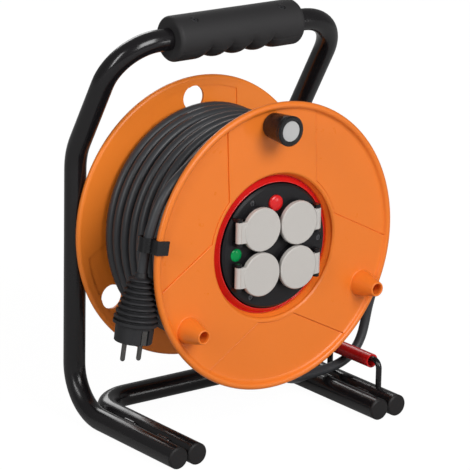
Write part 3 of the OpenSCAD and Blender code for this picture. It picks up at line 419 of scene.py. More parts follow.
def spline(points):
    """A uniform cubic B-spline through whole arrays, its ends carried on straight so that the
    curve starts and ends on the first and last points."""
    p = np.asarray(points, float)
    q = np.concatenate([[2 * p[0] - p[1]], p, [2 * p[-1] - p[-2]]])
    t = (np.arange(SPAN_STEPS) / SPAN_STEPS)[None, :, None]
    a, b, c, d = (q[i : len(q) - 3 + i, None] for i in range(4))
    curve = ((1 - t) ** 3 * a + (3 * t**3 - 6 * t**2 + 4) * b + (-3 * t**3 + 3 * t**2 + 3 * t + 1) * c
             + t**3 * d) / 6
    return np.concatenate([curve.reshape(-1, 3), [(q[-3] + 4 * q[-2] + q[-1]) / 6]])


# the winding: sizes of its turns, and where on the drum its layers start and end, in degrees
TURN_PITCH, OUTER_TURN, LAYER_STEP = 10.6, 114.5, 10.4
LAST_ANGLE, LAST_Y = 245.0, -52.675
LAYER_ANGLE, OUTER_ANGLE, CLIMB_ANGLE, GLAND_ANGLE = 3780.0, 3060.0, 120.0, 200.0
FADE_IN, FADE_OUT = 120, 240
TURN_DIR = np.array([-sin(radians(LAST_ANGLE)), 0.0, cos(radians(LAST_ANGLE))])
LEAD_OUT = np.arange(2.5, 10.1, 2.5)
# distances from the end of one cable piece at which the next runs straight on from it
LEADS = (0.02, 12, 24)
# points that the loop and the free end follow, the free end's from the drum's middle
LOOP_POINTS = [[-6, -53, 70], [24, -48, 48], [56, -36, 38], [78, -8, 29], [141, -4, 27],
               [164, -5, 54], [171, 0, 86], [174, -16, 127], [136, -33, 169], [132, -48, 192]]
TAIL_POINTS = [[118, -52, 40], [112, -52, 54], [104, -52, 72], [84, -52, 97], [52, -52, 118],
               [12, -52, 129], [-30, -52, 128], [-69, -52, 114], [-101.6, -52, 90.7], [-118.5, -52, 78.1],
               [-132.3, -52, 61.9], [-138.2, -51.3, 46.3], [-142.7, -50.4, 31.5], [-144.6, -48.1, 18.5]]
# the plug: the middle of its face, the way from there to its boot, and its boot's rubber ribs
TILT = radians(8.5)
PLUG_AT = AXIS + [-155.4, -43.5, -74.25]
PLUG_AXIS = np.array([sin(TILT), 0.0, cos(TILT)])
PLUG_SIDE = np.array([cos(TILT), 0.0, -sin(TILT)])
PLUG_TOP, CABLE_IN = 68.4, 3
RIBS, RIB_PITCH, BOOT_FOOT, BOOT_WIDE, BOOT_NARROW = 8, 5.3, 21.05, 21.75, 11.0
# a rib's outline as depth under its crest and distance up the boot, and the boot's neck over the ribs
RIB_SHAPE = np.array([[3.0, 0.0], [3.0, 1.2], [2.2, 1.7], [0.9, 2.0], [0.15, 2.5], [0.0, 3.1], [0.15, 3.8],
                      [0.9, 4.4], [2.2, 4.9]])
NECK_SHAPE = np.array([[7.8, 0], [7.4, 0.4], [6.6, 1.2], [6.3, 2.2], [6.1, 4.0], [5.6, 4.8], [0, 4.8]])


def winding_route(steps):
    """Three layers of turns on the barrel, the outer one looser. The angle grows steadily; the
    distance along the axis goes to the front, back and to the front again by one pitch a turn, and
    the radius climbs one layer at each end over a third of a turn. Slow sines that share no period
    push the outer turns up to 0.9 mm along and 1 mm inwards, and fade out at both its ends."""
    third = LAST_ANGLE - OUTER_ANGLE
    second = third - CLIMB_ANGLE - LAYER_ANGLE
    first = second - CLIMB_ANGLE
    start = first - LAYER_ANGLE + (GLAND_ANGLE - (first - LAYER_ANGLE)) % 360
    angle = np.arange(start, LAST_ANGLE + 0.01, 360.0 / steps)
    layer = smooth(angle, first, first + CLIMB_ANGLE) + smooth(angle, third - CLIMB_ANGLE, third)
    radius = OUTER_TURN + LAYER_STEP * (layer - 2)
    width = TURN_PITCH * LAYER_ANGLE / 360
    turns = [start, first, second, third - CLIMB_ANGLE, third, LAST_ANGLE]
    along = [LAST_Y + TURN_PITCH * (first - start) / 360, LAST_Y, LAST_Y, LAST_Y + width,
             LAST_Y + width, LAST_Y]
    y = np.interp(angle, turns, along)
    a = np.radians(angle)
    loose = np.clip((LAST_ANGLE - angle) / FADE_OUT, 0, 1) * np.clip((angle - third) / FADE_IN, 0, 1)
    y = y + loose * (0.5 * np.sin(0.31 * a + 1.0) + 0.4 * np.sin(1.37 * a))
    radius = radius - loose * (0.5 + 0.3 * np.sin(0.83 * a + 2.0) + 0.2 * np.sin(2.3 * a))
    wound = AXIS + np.stack([radius * np.cos(a), y, radius * np.sin(a)], -1)
    return np.concatenate([wound, wound[-1] + LEAD_OUT[:, None] * TURN_DIR])


def loop_route(turn_end):
    """The slack from the last turn down through the guide and up to the start of the free end."""
    tail = AXIS + TAIL_POINTS[0]
    ahead = unit(np.subtract(TAIL_POINTS[1], TAIL_POINTS[0]))
    first = [turn_end + d * TURN_DIR for d in LEADS]
    last = [tail - d * ahead for d in LEADS[::-1]]
    return spline(np.concatenate([first, LOOP_POINTS, last]))


def tail_route():
    """The free end over the outside of the winding, through the clip and into the plug's boot."""
    mouth = PLUG_AT + PLUG_TOP * PLUG_AXIS
    last = [mouth + d * PLUG_AXIS for d in (LEADS[1], -CABLE_IN)]
    return spline(np.concatenate([AXIS + TAIL_POINTS, last]))


def boot_mesh(name):
    """The plug's boot, turned about the plug's axis: the same rib again and again, one pitch up each
    time and its crest drawn in by an even step, under a neck that closes round the cable."""
    rib = np.arange(RIBS)[:, None]
    crest = BOOT_WIDE - rib * (BOOT_WIDE - BOOT_NARROW) / RIBS
    ribs = np.stack([crest - RIB_SHAPE[:, 0], BOOT_FOOT + rib * RIB_PITCH + RIB_SHAPE[:, 1]], -1)
    neck = NECK_SHAPE + [0, BOOT_FOOT + RIBS * RIB_PITCH]
    profile = np.concatenate([[[0, BOOT_FOOT]], ribs.reshape(-1, 2), neck])
    return turned(name, profile, 64, PLUG_AT, PLUG_AXIS, PLUG_SIDE)


# ---- settings


class ReelCable(PropertyGroup):
    """Sizes of the cable."""

    diameter: FloatProperty(name="Diameter", description="Diameter of the cable", default=0.01,
                            unit="LENGTH", subtype="DISTANCE")
    sides: IntProperty(name="Sides", description="Sides of the cable's round section", default=20, min=8)
    steps: IntProperty(name="Steps per turn", description="Rings of points in each turn", default=80, min=24)


def colour_setting(name, description, default):
    """A colour property."""
    return FloatVectorProperty(name=name, description=description, default=default, size=3, subtype="COLOR")


class ReelColours(PropertyGroup):
    """Colours of the finishes."""

    tube: colour_setting("Tube paint", "Gloss paint of the tubes", (0.008, 0.007, 0.008))
    drum: colour_setting("Drum", "Moulded drum", (0.86, 0.205, 0.022))
    cable: colour_setting("Cable", "Rubber sheath of the cable", (0.041, 0.043, 0.047))
    plug: colour_setting("Plug", "Rubber of the plug", (0.021, 0.021, 0.023))
    panel: colour_setting("Panel", "Socket panel", (0.010, 0.0095, 0.011))
    cover: colour_setting("Covers", "Outlet covers", (0.55, 0.525, 0.495))
    red: colour_setting("Red trim", "Panel ring and reset button", (0.70, 0.012, 0.013))
    sleeve: colour_setting("Guide sleeve", "Sleeve on the cable guide", (0.60, 0.008, 0.010))
    lens: colour_setting("Lamp lens", "Lens of the lamp", (0.0, 0.31, 0.075))
    grip: colour_setting("Grip", "Carrying grip and knob", (0.026, 0.025, 0.026))


class ReelStage(PropertyGroup):
    """Lamps and camera."""

    key: FloatProperty(name="Key lamp", description="Power of the large lamp at the front", default=82.0,
                       unit="POWER")
    side: FloatProperty(name="Side lamp", description="Power of the strip at the left", default=22.0,
                        unit="POWER")
    low: FloatProperty(name="Low lamp", description="Power of the low strip at the right", default=3.0,
                       unit="POWER")
    back: FloatProperty(name="Back lamp", description="Power of the soft lamp behind", default=22.0,
                        unit="POWER")
    fill: FloatProperty(name="Fill", description="Strength of the light from all round", default=0.16)
    lens: FloatProperty(name="Focal length", description="Focal length of the camera", default=242.3,
                        subtype="DISTANCE_CAMERA")


class ReelSettings(PropertyGroup):
    """Everything that a user may change."""

    cable: PointerProperty(type=ReelCable, name="Cable", description="Sizes of the cable")
    colours: PointerProperty(type=ReelColours, name="Colours", description="Colours of the finishes")
    stage: PointerProperty(type=ReelStage, name="Stage", description="Lamps and camera")


# ---- camera


# the camera: bearing, height and roll in degrees about a middle, its distance, and its aim from there
CAMERA_TURNS = (-38.1224, 16.7069, 1.3774)
CAMERA_MIDDLE, CAMERA_FAR = np.array([0.0, -66.0, 193.0]), 3084.8
AIM_RIGHT, AIM_UP = -41.05, 12.07


class REEL_OT_camera(Operator):
    """Puts the camera at the front left, a little above the reel"""

    bl_idname = "cord_reel.camera"
    bl_label = "Camera"

    def execute(self, context):
        s = context.scene.cord_reel
        az, el, roll = (radians(v) for v in CAMERA_TURNS)
        back = np.array([sin(az) * cos(el), -cos(az) * cos(el), sin(el)])
        right = unit(np.cross([0.0, 0.0, 1.0], back))
        up = np.cross(back, right)
        right, up = right * cos(roll) + up * sin(roll), up * cos(roll) - right * sin(roll)
        eye = CAMERA_MIDDLE + CAMERA_FAR * back
        aim = CAMERA_MIDDLE + AIM_RIGHT * right + AIM_UP * up
        back = unit(eye - aim)
        right = unit(np.cross(up, back))
        up = np.cross(back, right)
        data = bpy.data.cameras.new("Camera")
        data.lens = s.stage.lens
        data.clip_end = 50.0
        camera = placed("Camera", data)
        turn = Matrix([[*row] for row in np.stack([right, up, back], -1)]).to_4x4()
        camera.matrix_world = Matrix.Translation(Vector(eye * MM)) @ turn
        context.scene.camera = camera
        return {"FINISHED"}


# ---- cables


def cable_piece(s, name, path, body, nodes):
    """A round cable on a path."""
    mesh = tube(name, path, s.cable.diameter / MM / 2, s.cable.sides, np.cross(headings(path), [0, 1.0, 0]))
    made = piece(mesh, name, bpy.data.materials["Cable rubber"], body, "cable_rubber", nodes)


class REEL_OT_winding(Operator):
    """Winds the cable on the drum in three layers of turns"""

    bl_idname = "cord_reel.winding"
    bl_label = "Winding"

    def execute(self, context):
        s = context.scene.cord_reel
        rubber_sheath("Cable rubber", s.colours.cable, (0.05, 0.048, 0.046))
        cable_piece(s, "cable_winding", winding_route(s.cable.steps), "drum", ["cable_core", "cable_turns"])
        return {"FINISHED"}


class REEL_OT_slack_loop(Operator):
    """Leads the slack from the winding through the guide and back up to the drum"""

    bl_idname = "cord_reel.slack_loop"
    bl_label = "Slack loop"

    def execute(self, context):
        s = context.scene.cord_reel
        path = loop_route(winding_route(s.cable.steps)[-1])
        cable_piece(s, "cable_slack", path, "frame", ["cable_loop"])
        return {"FINISHED"}


class REEL_OT_plug(Operator):
    """Makes the rubber plug with its ribbed boot, pins and earth strips"""

    bl_idname = "cord_reel.plug"
    bl_label = "Plug"

    def execute(self, context):
        s = context.scene.cord_reel
        rubber = moulded_rubber("Plug rubber", s.colours.plug)
        # painted shade: the nickel of the pins and earth strips is darkened to 0.16, well under plated
        # metal's own colour, to stand in for the shade and dark surroundings they mirror
        shaded_nickel = metal("Nickel", (0.16, 0.155, 0.15), 0.22, (1, 1, 0.2))
        piece(boot_mesh("plug_boot"), "plug_ribbed_boot", rubber, "drum", "cable_rubber", ["plug_boot"], 40)
        cad_copy("plug_body", "plug_head", rubber, "drum", "cable_rubber")
        dress(shaded_nickel, "plug_pins", "plug_earths")
        return {"FINISHED"}


class REEL_OT_free_end(Operator):
    """Leads the free end over the winding to the clip and the plug"""

    bl_idname = "cord_reel.free_end"
    bl_label = "Free end"

    def execute(self, context):
        s = context.scene.cord_reel
        held = ["plug_ribbed_boot", "plug_head"]
        held += [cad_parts[node] for node in ("plug_pins", "plug_earths", "plug_clip")]
        cable_piece(s, "cable_free_end", tail_route(), "drum", ["cable_tail"])
        return {"FINISHED"}


# ---- tube frame


# the tubes: radius and wall, the feet's places, the bends and the upper part's lean
TUBE_R, TUBE_WALL, TUBE_SIDES = 11.0, 1.5, 40
FOOT_X, BASE_X = 136.0, 113.7
FOOT_Y, UP_Y = -92.0, 84.0
BEND, BASE_BEND, LEAN_BEND = 48.0, 40.0, 60.0
LEAN, LEAN_Z, LEAN_L = radians(30.0), 274.0, 139.0
ARM_WAY = np.array([0, -sin(LEAN), cos(LEAN)])
FACE_WAY = np.array([0, cos(LEAN), sin(LEAN)])


def arc(middle, start, end, radius, angle, steps=16):
    """Points on a bend: the middle plus radius times the cosine of the angle along start and its
    sine along end."""
    t = np.linspace(0, angle, steps + 1)[:, None]
    return middle + radius * (np.cos(t) * start + np.sin(t) * end)


def main_route():
    """The outer tube's middle line and its side direction, from the left foot round to the right."""
    cut = LEAN_BEND * tan(LEAN / 2)
    corner = np.array([-FOOT_X, UP_Y, LEAN_Z])
    foot = [[-FOOT_X, FOOT_Y, TUBE_R]]
    rise = arc([-FOOT_X, UP_Y - BEND, TUBE_R + BEND], [0, 0, -1], [0, 1, 0], BEND, pi / 2)
    lean = arc([-FOOT_X, UP_Y - LEAN_BEND, LEAN_Z - cut], [0, 1, 0], [0, 0, 1], LEAN_BEND, LEAN, 8)
    turn = arc(corner + ARM_WAY * (LEAN_L - BEND) + [BEND, 0, 0], [-1, 0, 0], ARM_WAY, BEND, pi / 2)
    left = np.concatenate([foot, rise, lean])
    both = np.concatenate([left, turn])
    path = np.concatenate([both, (both * [-1, 1, 1])[::-1]])
    ahead = headings(path)
    n = len(left)
    side = np.cross(FACE_WAY, ahead)
    side[:n] = [1, 0, 0]
    side[-n:] = [-1, 0, 0]
    return path, side


class REEL_OT_tube_frame(Operator):
    """Bends the two tubes of the stand and finishes what is welded to them"""

    bl_idname = "cord_reel.tube_frame"
    bl_label = "Tube frame"

    def execute(self, context):
        s = context.scene.cord_reel
        paint = gloss_paint("Gloss black", s.colours.tube)
        path, side = main_route()
        mesh = tube("main_tube", path, TUBE_R, TUBE_SIDES, side, TUBE_R - TUBE_WALL)
        piece(mesh, "main_tube", paint, "frame", "painted_tube", ["main_frame"])
        middle = [BASE_BEND - BASE_X, UP_Y - BASE_BEND, TUBE_R]
        bend = arc(middle, [-1, 0, 0], [0, 1, 0], BASE_BEND, pi / 2)
        left = np.concatenate([[[-BASE_X, FOOT_Y, TUBE_R]], bend])
        path = np.concatenate([left, (left * [-1, 1, 1])[::-1]])
        mesh = tube("base_tube", path, TUBE_R, TUBE_SIDES, [0, 0, 1.0], TUBE_R - TUBE_WALL)
        piece(mesh, "base_tube", paint, "frame", "painted_tube", ["base_frame"])
        for node in ("crossbar", "guide_bracket"):
            cad_copy(node, node + "_painted", paint, "frame", "painted_tube")
        cad_copy("frame_welds", "weld_beads", paint, "frame", "weld")
        return {"FINISHED"}


class REEL_OT_foot_caps(Operator):
    """Closes the four tube ends with rubber caps"""

    bl_idname = "cord_reel.foot_caps"
    bl_label = "Foot caps"

    def execute(self, context):
        finish = moulded_rubber("Cap rubber", (0.012, 0.011, 0.0115), 0.45)
        cad_copy("foot_caps", "foot_plugs", finish, "frame", "cap_rubber")
        return {"FINISHED"}


# ---- grip


# the grip: radius, length, bore and edge; its finger lobes; where it lies; its screw pits
GRIP_R, GRIP_L, GRIP_BORE, GRIP_EDGE = 22.5, 151.0, 11.1, 4.0
GRIP_COLUMNS, GRIP_SIDES = 231, 208
LOBES, LOBE_PITCH, NOTCH = 5, 24.8, 4.3
# degrees from below over which the lobes fade, and the groove's depth and its sides' degrees
LOBE_FADE, GROOVE, GROOVE_SIDE = (62, 122), 0.3, (0.5, 1.8)
GRIP_AT = np.array([0.0, UP_Y - LEAN_L * sin(LEAN), LEAN_Z + LEAN_L * cos(LEAN)])
GRIP_SCREW, GRIP_SINK, PIT_SIDE = 53.0, 2.9, (3.1, 3.9)


def grip_mesh(name):
    """The grip as one sleeve round the top bar. Its radius along the bar is even, with a quarter
    round at both ends; under the bar it loses the depth of round arcs one finger wide, which fade
    out up the sides. Round pits take the two screws, and a fine groove shows where the halves meet."""
    flat = GRIP_L / 2 - GRIP_EDGE
    bend = np.radians(np.arange(0, 91, 15))
    end = np.stack([flat + GRIP_EDGE * np.sin(bend), GRIP_R - GRIP_EDGE * (1 - np.cos(bend))], -1)
    x = np.concatenate([-end[::-1, 0], np.linspace(-flat, flat, GRIP_COLUMNS + 2)[1:-1], end[:, 0]])
    rim = np.concatenate([end[::-1, 1], np.full(GRIP_COLUMNS, GRIP_R), end[:, 1]])
    turn = np.arange(GRIP_SIDES) * 2 * pi / GRIP_SIDES
    below = np.degrees(np.abs((turn + pi) % (2 * pi) - pi))
    half = LOBE_PITCH / 2
    bow = (half**2 + NOTCH**2) / (2 * NOTCH)
    place = np.clip(x / LOBE_PITCH + LOBES / 2, 0.5, LOBES - 0.5)
    off = (place - np.floor(place) - 0.5) * LOBE_PITCH
    cut = bow - np.sqrt(bow**2 - off**2)
    radius = rim[:, None] - cut[:, None] * (1 - smooth(below, *LOBE_FADE))
    radius -= GROOVE * (1 - smooth(np.abs(below - 90), *GROOVE_SIDE))
    away = np.hypot(np.abs(x)[:, None] - GRIP_SCREW, np.radians(180 - below) * GRIP_R)
    radius -= GRIP_SINK * (1 - smooth(away, *PIT_SIDE))
    bore = np.full((1, len(turn)), GRIP_BORE)
    radius = np.concatenate([bore, radius, bore])
    x = np.concatenate([x[:1], x, x[-1:]])
    spoke = -np.cos(turn)[:, None] * ARM_WAY + np.sin(turn)[:, None] * FACE_WAY
    points = GRIP_AT + x[:, None, None] * [1.0, 0, 0] + radius[..., None] * spoke
    return mesh_of(name, points.reshape(-1, 3), grid_quads(len(x), len(turn), closed_rows=True))


class REEL_OT_grip(Operator):
    """Makes the carrying grip"""

    bl_idname = "cord_reel.grip"
    bl_label = "Grip"

    def execute(self, context):
        s = context.scene.cord_reel
        finish = moulded("Grip plastic", s.colours.grip, 0.55, 0.0012, 0.00012, 0.1, shine=0.3)
        piece(grip_mesh("grip"), "grip_sleeve", finish, "frame", "black_plastic",
              ["grip_upper", "grip_lower"], 35)
        return {"FINISHED"}


# ---- drum


# the front flange: radii, and heights to the front from the drum's middle
RIM_R, BEAD, OPENING, RING_ZONE = 145.0, 3.5, 72.7, 77.0
ARM_TOP, WEB_TOP, WEB_BACK, CORE_TOP, FILLET = 62.5, 61.5, 59.0, 60.9, 4.0
LEDGE_R, LEDGE_TOP, LEDGE_BACK, COLLAR_R, COLLAR_BACK = 70.0, 54.5, 46.4, 75.0, 44.2
MOUTH_WIDE, MOUTH_DEEP, HAIR, DISC_ROUND = 1.8, 1.5, 0.005, 0.55
ARM_HALF, ARM_GAP, PLATE_FOOT = 53.0, 0.5, 59.4
ARM_FIRST, FIELD_FIRST = OPENING + 2.2, RING_ZONE + 0.4
ARM_COLUMNS, FIELD_COLUMNS, PLATE_ROWS, BEND_ROWS = 24, 38, 16, 9
# a plate's rounded edge: distances in from it, and how far the top has dropped there
EDGE_IN, EDGE_DROP = np.array([0, 0.02, 0.12, 0.4, 0.9]), np.array([0.9, 0.4, 0.12, 0, 0])
EDGE_REST = 1.5
SPOTS = np.radians([93.0, 213.0, 333.0])
# the bosses: radii and heights, a crank boss's root from where it leaves the arm, and the cut for its bore
BOSS_PITCH, BOSS_TIP, BOSS_BORE, BOSS_TOP = 123.5, 7.3, 5.5, 89.0
BOSS_ROOT = [[15.0, 60.0], [17.0, 61.0], [17.0, 62.2], [13.0, 62.6], [12.7, 66.0]]
STUB_R, STUB_FOOT, STUB_TOP = 8.0, 61.0, 68.4
DRILL_R, DRILL_FROM, DRILL_TO = BOSS_BORE + 0.6, 50.0, 70.0


def joined(name, meshes):
    """Several meshes put together as one."""
    shape = bpy.data.meshes.new(name)
    whole = bmesh.new()
    for each in meshes:
        whole.from_mesh(each)
        bpy.data.meshes.remove(each)
    whole.to_mesh(shape)
    whole.free()
    return shape


def flange_disc(name):
    """The turned part of the front flange under its raised plates: the round bead at the rim is an
    arc of 297 degrees, the opening has a sloping edge over a ledge for the ring, and all corners are
    rounded."""
    turn = np.radians(np.linspace(-90, 207, 34))
    bead = np.stack([RIM_R - BEAD + BEAD * np.cos(turn), ARM_TOP + BEAD * np.sin(turn)], -1)
    corners = [[RIM_R - 2 * BEAD, CORE_TOP], [RING_ZONE, CORE_TOP], [RING_ZONE, ARM_TOP - HAIR],
               [OPENING + MOUTH_WIDE, ARM_TOP - HAIR], [OPENING, ARM_TOP - MOUTH_DEEP], [OPENING, WEB_BACK],
               [LEDGE_R, LEDGE_TOP], [LEDGE_R, LEDGE_BACK], [OPENING, LEDGE_BACK], [OPENING, COLLAR_BACK],
               [COLLAR_R, COLLAR_BACK], [COLLAR_R, WEB_BACK], [RIM_R - 2 * BEAD, WEB_BACK]]
    return turned(name, np.concatenate([bead, rounded(corners, DISC_ROUND, 4)]), 240, AXIS, closed=True)


def plate(name, spot, spread, level, first):
    """A raised plate of the front flange, from the radius first to the bead at the rim. Each point is
    the radius times the cosine and sine of spot plus the angle that spread gives for its column. The
    top is flat at level and runs out on a concave quarter arc, and its edges are rounded."""
    centre = level + FILLET
    reach = sqrt((BEAD + FILLET) ** 2 - (centre - ARM_TOP) ** 2)
    start = RIM_R - BEAD - reach
    bend = np.linspace(0, asin(reach / (BEAD + FILLET)), BEND_ROWS)[1:]
    r = np.concatenate([first + EDGE_IN[:-1], np.linspace(first + 1, start, PLATE_ROWS),
                        start + FILLET * np.sin(bend), [RIM_R - BEAD]])
    h = np.concatenate([level - EDGE_DROP[:-1], np.full(PLATE_ROWS, level), centre - FILLET * np.cos(bend),
                        [ARM_TOP]])
    turn = spot + spread(r)
    rows, cols = turn.shape
    sink = np.concatenate([EDGE_DROP, np.zeros(cols - 2 * len(EDGE_DROP)), EDGE_DROP[::-1]])
    upper = np.stack([r[:, None] * np.cos(turn), sink - h[:, None], AXIS[2] + r[:, None] * np.sin(turn)],
                     -1).reshape(-1, 3)
    lower = upper.copy()
    lower[:, 1] = -PLATE_FOOT
    n = rows * cols
    quads = grid_quads(rows, cols, closed_cols=False)
    k = np.arange(n).reshape(rows, cols)
    edge = np.concatenate([k[0], k[1:, -1], k[-1, -2::-1], k[-2:0:-1, 0]])
    after = np.roll(edge, -1)
    skirt = np.stack([after + n, edge + n, edge, after], -1)
    return mesh_of(name, np.concatenate([upper, lower]), np.concatenate([quads[:, ::-1], quads + n, skirt]))


def arm_spread(r):
    """Angles across an arm: the arcsine of the distance from its middle line over the radius, so that
    the arm's sides are parallel."""
    middle = np.linspace(EDGE_REST - ARM_HALF, ARM_HALF - EDGE_REST, ARM_COLUMNS)
    v = np.concatenate([EDGE_IN - ARM_HALF, middle, ARM_HALF - EDGE_IN[::-1]])
    return np.arcsin(v / r[:, None])


def field_spread(r):
    """Angles across a field: those of lines along the arm before it and the arm after it, a third of
    a turn further on, with the columns between them spread evenly."""
    low = np.arcsin((ARM_HALF + ARM_GAP + EDGE_IN) / r[:, None])
    high = 2 * pi / 3 - low[:, ::-1]
    share = np.linspace(0, 1, FIELD_COLUMNS + 2)[1:-1]
    return np.concatenate([low, low[:, -1:] + (high[:, :1] - low[:, -1:]) * share, high], 1)


def flange_plates(name):
    """The three arms of the front flange, which are bands with parallel sides, and the three fields
    between them, whose sides run along the arms a narrow groove away."""
    made = []
    for spot in SPOTS:
        made.append(plate("arm", spot, arm_spread, ARM_TOP, ARM_FIRST))
        made.append(plate("field", spot, field_spread, WEB_TOP, FIELD_FIRST))
    return joined(name, made)


def boss_place(spot):
    """The point on a boss's axis level with the drum's middle: the pitch radius times the cosine of
    its angle to the side, and times the sine up."""
    return BOSS_PITCH * cos(spot), 0, AXIS[2] + BOSS_PITCH * sin(spot)


def drilled(mesh):
    """The mesh with the bores of the two crank bosses cut through it."""
    body = placed("drilled", mesh)
    rod = [[0, DRILL_FROM], [DRILL_R, DRILL_FROM], [DRILL_R, DRILL_TO], [0, DRILL_TO]]
    tools = []
    for spot in SPOTS[1:]:
        tools.append(placed("drill", turned("drill", rod, 48, boss_place(spot))))
        cut = body.modifiers.new("Bore", "BOOLEAN")
        cut.operation, cut.solver, cut.object = "DIFFERENCE", "EXACT", tools[-1]
    bpy.context.view_layer.update()
    result = bpy.data.meshes.new_from_object(body.evaluated_get(bpy.context.evaluated_depsgraph_get()))
    for each in tools + [body]:
        shape = each.data
        bpy.data.objects.remove(each)
        bpy.data.meshes.remove(shape)
    return result


def flange_bosses(name):
    """The two tubular bosses for a crank and the short one inside the knob, turned about their own
    axes: a root that flares into the arm, a straight cone, a round lip and a bore right through."""
    tubular = rounded([*BOSS_ROOT, [BOSS_TIP, BOSS_TOP], [BOSS_BORE, BOSS_TOP], [BOSS_BORE, WEB_BACK],
                       [BOSS_BORE + 1, WEB_BACK]], 0.8, 5)
    short = rounded([[0, STUB_FOOT], [STUB_R, STUB_FOOT], [STUB_R, STUB_TOP], [0, STUB_TOP]], 0.3, 3)
    made = [turned("boss", tubular, 72, boss_place(spot), closed=True) for spot in SPOTS[1:]]
    return joined(name, made + [turned("boss", short, 72, boss_place(SPOTS[0]))])


class REEL_OT_drum(Operator):
    """Makes the front flange and finishes the rear flange and the barrel"""

    bl_idname = "cord_reel.drum"
    bl_label = "Drum"

    def execute(self, context):
        s = context.scene.cord_reel
        orange = moulded("Drum plastic", s.colours.drum, 0.3, 0.0009, 0.00002, 0.03, shine=0.4)
        on = (orange, "drum", "orange_plastic")
        piece(drilled(flange_disc("front_disc")), "front_flange_disc", *on, ["front_flange"])
        piece(drilled(flange_plates("front_plates")), "front_flange_arms", *on, crease=75)
        piece(flange_bosses("front_bosses"), "front_flange_bosses", *on, crease=50)
        # painted light: the rear flange and the barrel are the same orange plastic, but their colour is made
        # 1.2 times lighter to make up for the shade they stand in behind the front flange and the winding
        painted_light_drum = np.minimum(1.2 * np.array(s.colours.drum), 0.97)
        painted_light_orange = moulded("Rear drum plastic", painted_light_drum, 0.34, 0.0009, 0.00002, 0.03, shine=0.4)
        for node in ("rear_flange", "drum_barrel"):
            cad_copy(node, node + "_moulding", painted_light_orange, "drum", "orange_plastic")
        return {"FINISHED"}


# the red ring and the panel: radii and heights, and how far the panel's edge is moved
RING_IN, RING_OUT, RING_BACK = 65.2, 69.7, 46.4
RING_LIP, RING_TOP, RING_FOOT = 63.7, 58.2, 52.0
PANEL_R, PANEL_EDGE, PANEL_STEP, PANEL_RISE = 64.9, 57.675, 61.1, 3.2


def ring_mesh(name):
    """The red ring as a turned section: a cone that falls away from a round lip, which stands over
    the gap round the panel, to a narrow bead against the wall of the flange's opening."""
    corners = [[RING_OUT, RING_BACK], [RING_OUT, RING_FOOT + 0.6], [RING_OUT - 0.8, RING_FOOT + 0.6],
               [RING_OUT - 1.0, RING_FOOT], [RING_LIP + 0.9, RING_TOP], [RING_LIP, RING_TOP],
               [RING_LIP, RING_TOP - 1.2], [RING_IN, RING_FOOT - 1.0], [RING_IN, RING_BACK]]
    return turned(name, rounded(corners, 0.45, 4), 180, AXIS, closed=True)


def step_back(points):
    """The panel's points with the outer edge of its chamfer pulled in, so that a narrow bevel and a
    steep side stand where the chamfer was and leave a dark gap to the ring."""
    out = np.hypot(points[:, 0], points[:, 2] - AXIS[2])
    edge = (np.abs(out - PANEL_R) < 0.1) & (np.abs(points[:, 1] + PANEL_EDGE) < 0.1)
    points[edge, 0] *= PANEL_STEP / PANEL_R
    points[edge, 2] = AXIS[2] + (points[edge, 2] - AXIS[2]) * PANEL_STEP / PANEL_R
    points[edge, 1] -= PANEL_RISE
    return points


class REEL_OT_panel(Operator):
    """Finishes the socket panel, its ring, outlets and covers"""

    bl_idname = "cord_reel.panel"
    bl_label = "Socket panel"

    def execute(self, context):
        s = context.scene.cord_reel
        black = moulded("Panel plastic", s.colours.panel, 0.34, 0.0008, 0.00002, 0.1, shine=0.3)
        grey = moulded("Cover plastic", s.colours.cover, 0.42, 0.0007, 0.00003, 0.04)
        red = gloss_plastic("Red plastic", s.colours.red)
        white = moulded("White plastic", (0.7, 0.7, 0.66), 0.4)
        cad_copy("socket_panel", "socket_panel_moulding", black, "drum", "black_plastic", shape=step_back)
        for node in ("socket_inserts", "socket_housing", "cable_gland"):
            cad_copy(node, node + "_moulding", black, "drum", "black_plastic")
        piece(ring_mesh("panel_ring"), "panel_ring", red, "drum", "red_plastic", ["bezel_ring"])
        cad_copy("reset_button", "reset_cap", red, "reset_button", "red_plastic")
        cad_copy("indicator_lens", "lamp_lens", clear_lens("Green lens", s.colours.lens), "drum", "lens")
        for where in ("ul", "ur", "ll", "lr"):
            cover = "cover_" + where
            cad_copy(cover, "outlet_lid_" + where, grey, cover, "grey_plastic", edge=0.5)
        dress(white, "reset_body", "hub_bushes")
        return {"FINISHED"}


class REEL_OT_knob(Operator):
    """Makes the winding knob"""

    bl_idname = "cord_reel.knob"
    bl_label = "Winding knob"

    def execute(self, context):
        s = context.scene.cord_reel
        black = moulded("Knob plastic", s.colours.panel, 0.24, 0.0008, 0.00001, 0.1, shine=0.4)
        grey = moulded("Knob cap plastic", (0.5, 0.5, 0.5), 0.4)
        cad_copy("knob_body", "knob_grip", black, "knob", "black_plastic")
        cad_copy("knob_cap", "knob_disc", grey, "knob", "cap_grey")
        return {"FINISHED"}


class REEL_OT_guide(Operator):
    """Makes the red sleeve of the cable guide"""

    bl_idname = "cord_reel.guide"
    bl_label = "Cable guide"

    def execute(self, context):
        s = context.scene.cord_reel
        red = gloss_plastic("Sleeve plastic", s.colours.sleeve)
        cad_copy("guide_sleeve", "guide_roller", red, "guide_sleeve", "dark_red_plastic")
        return {"FINISHED"}


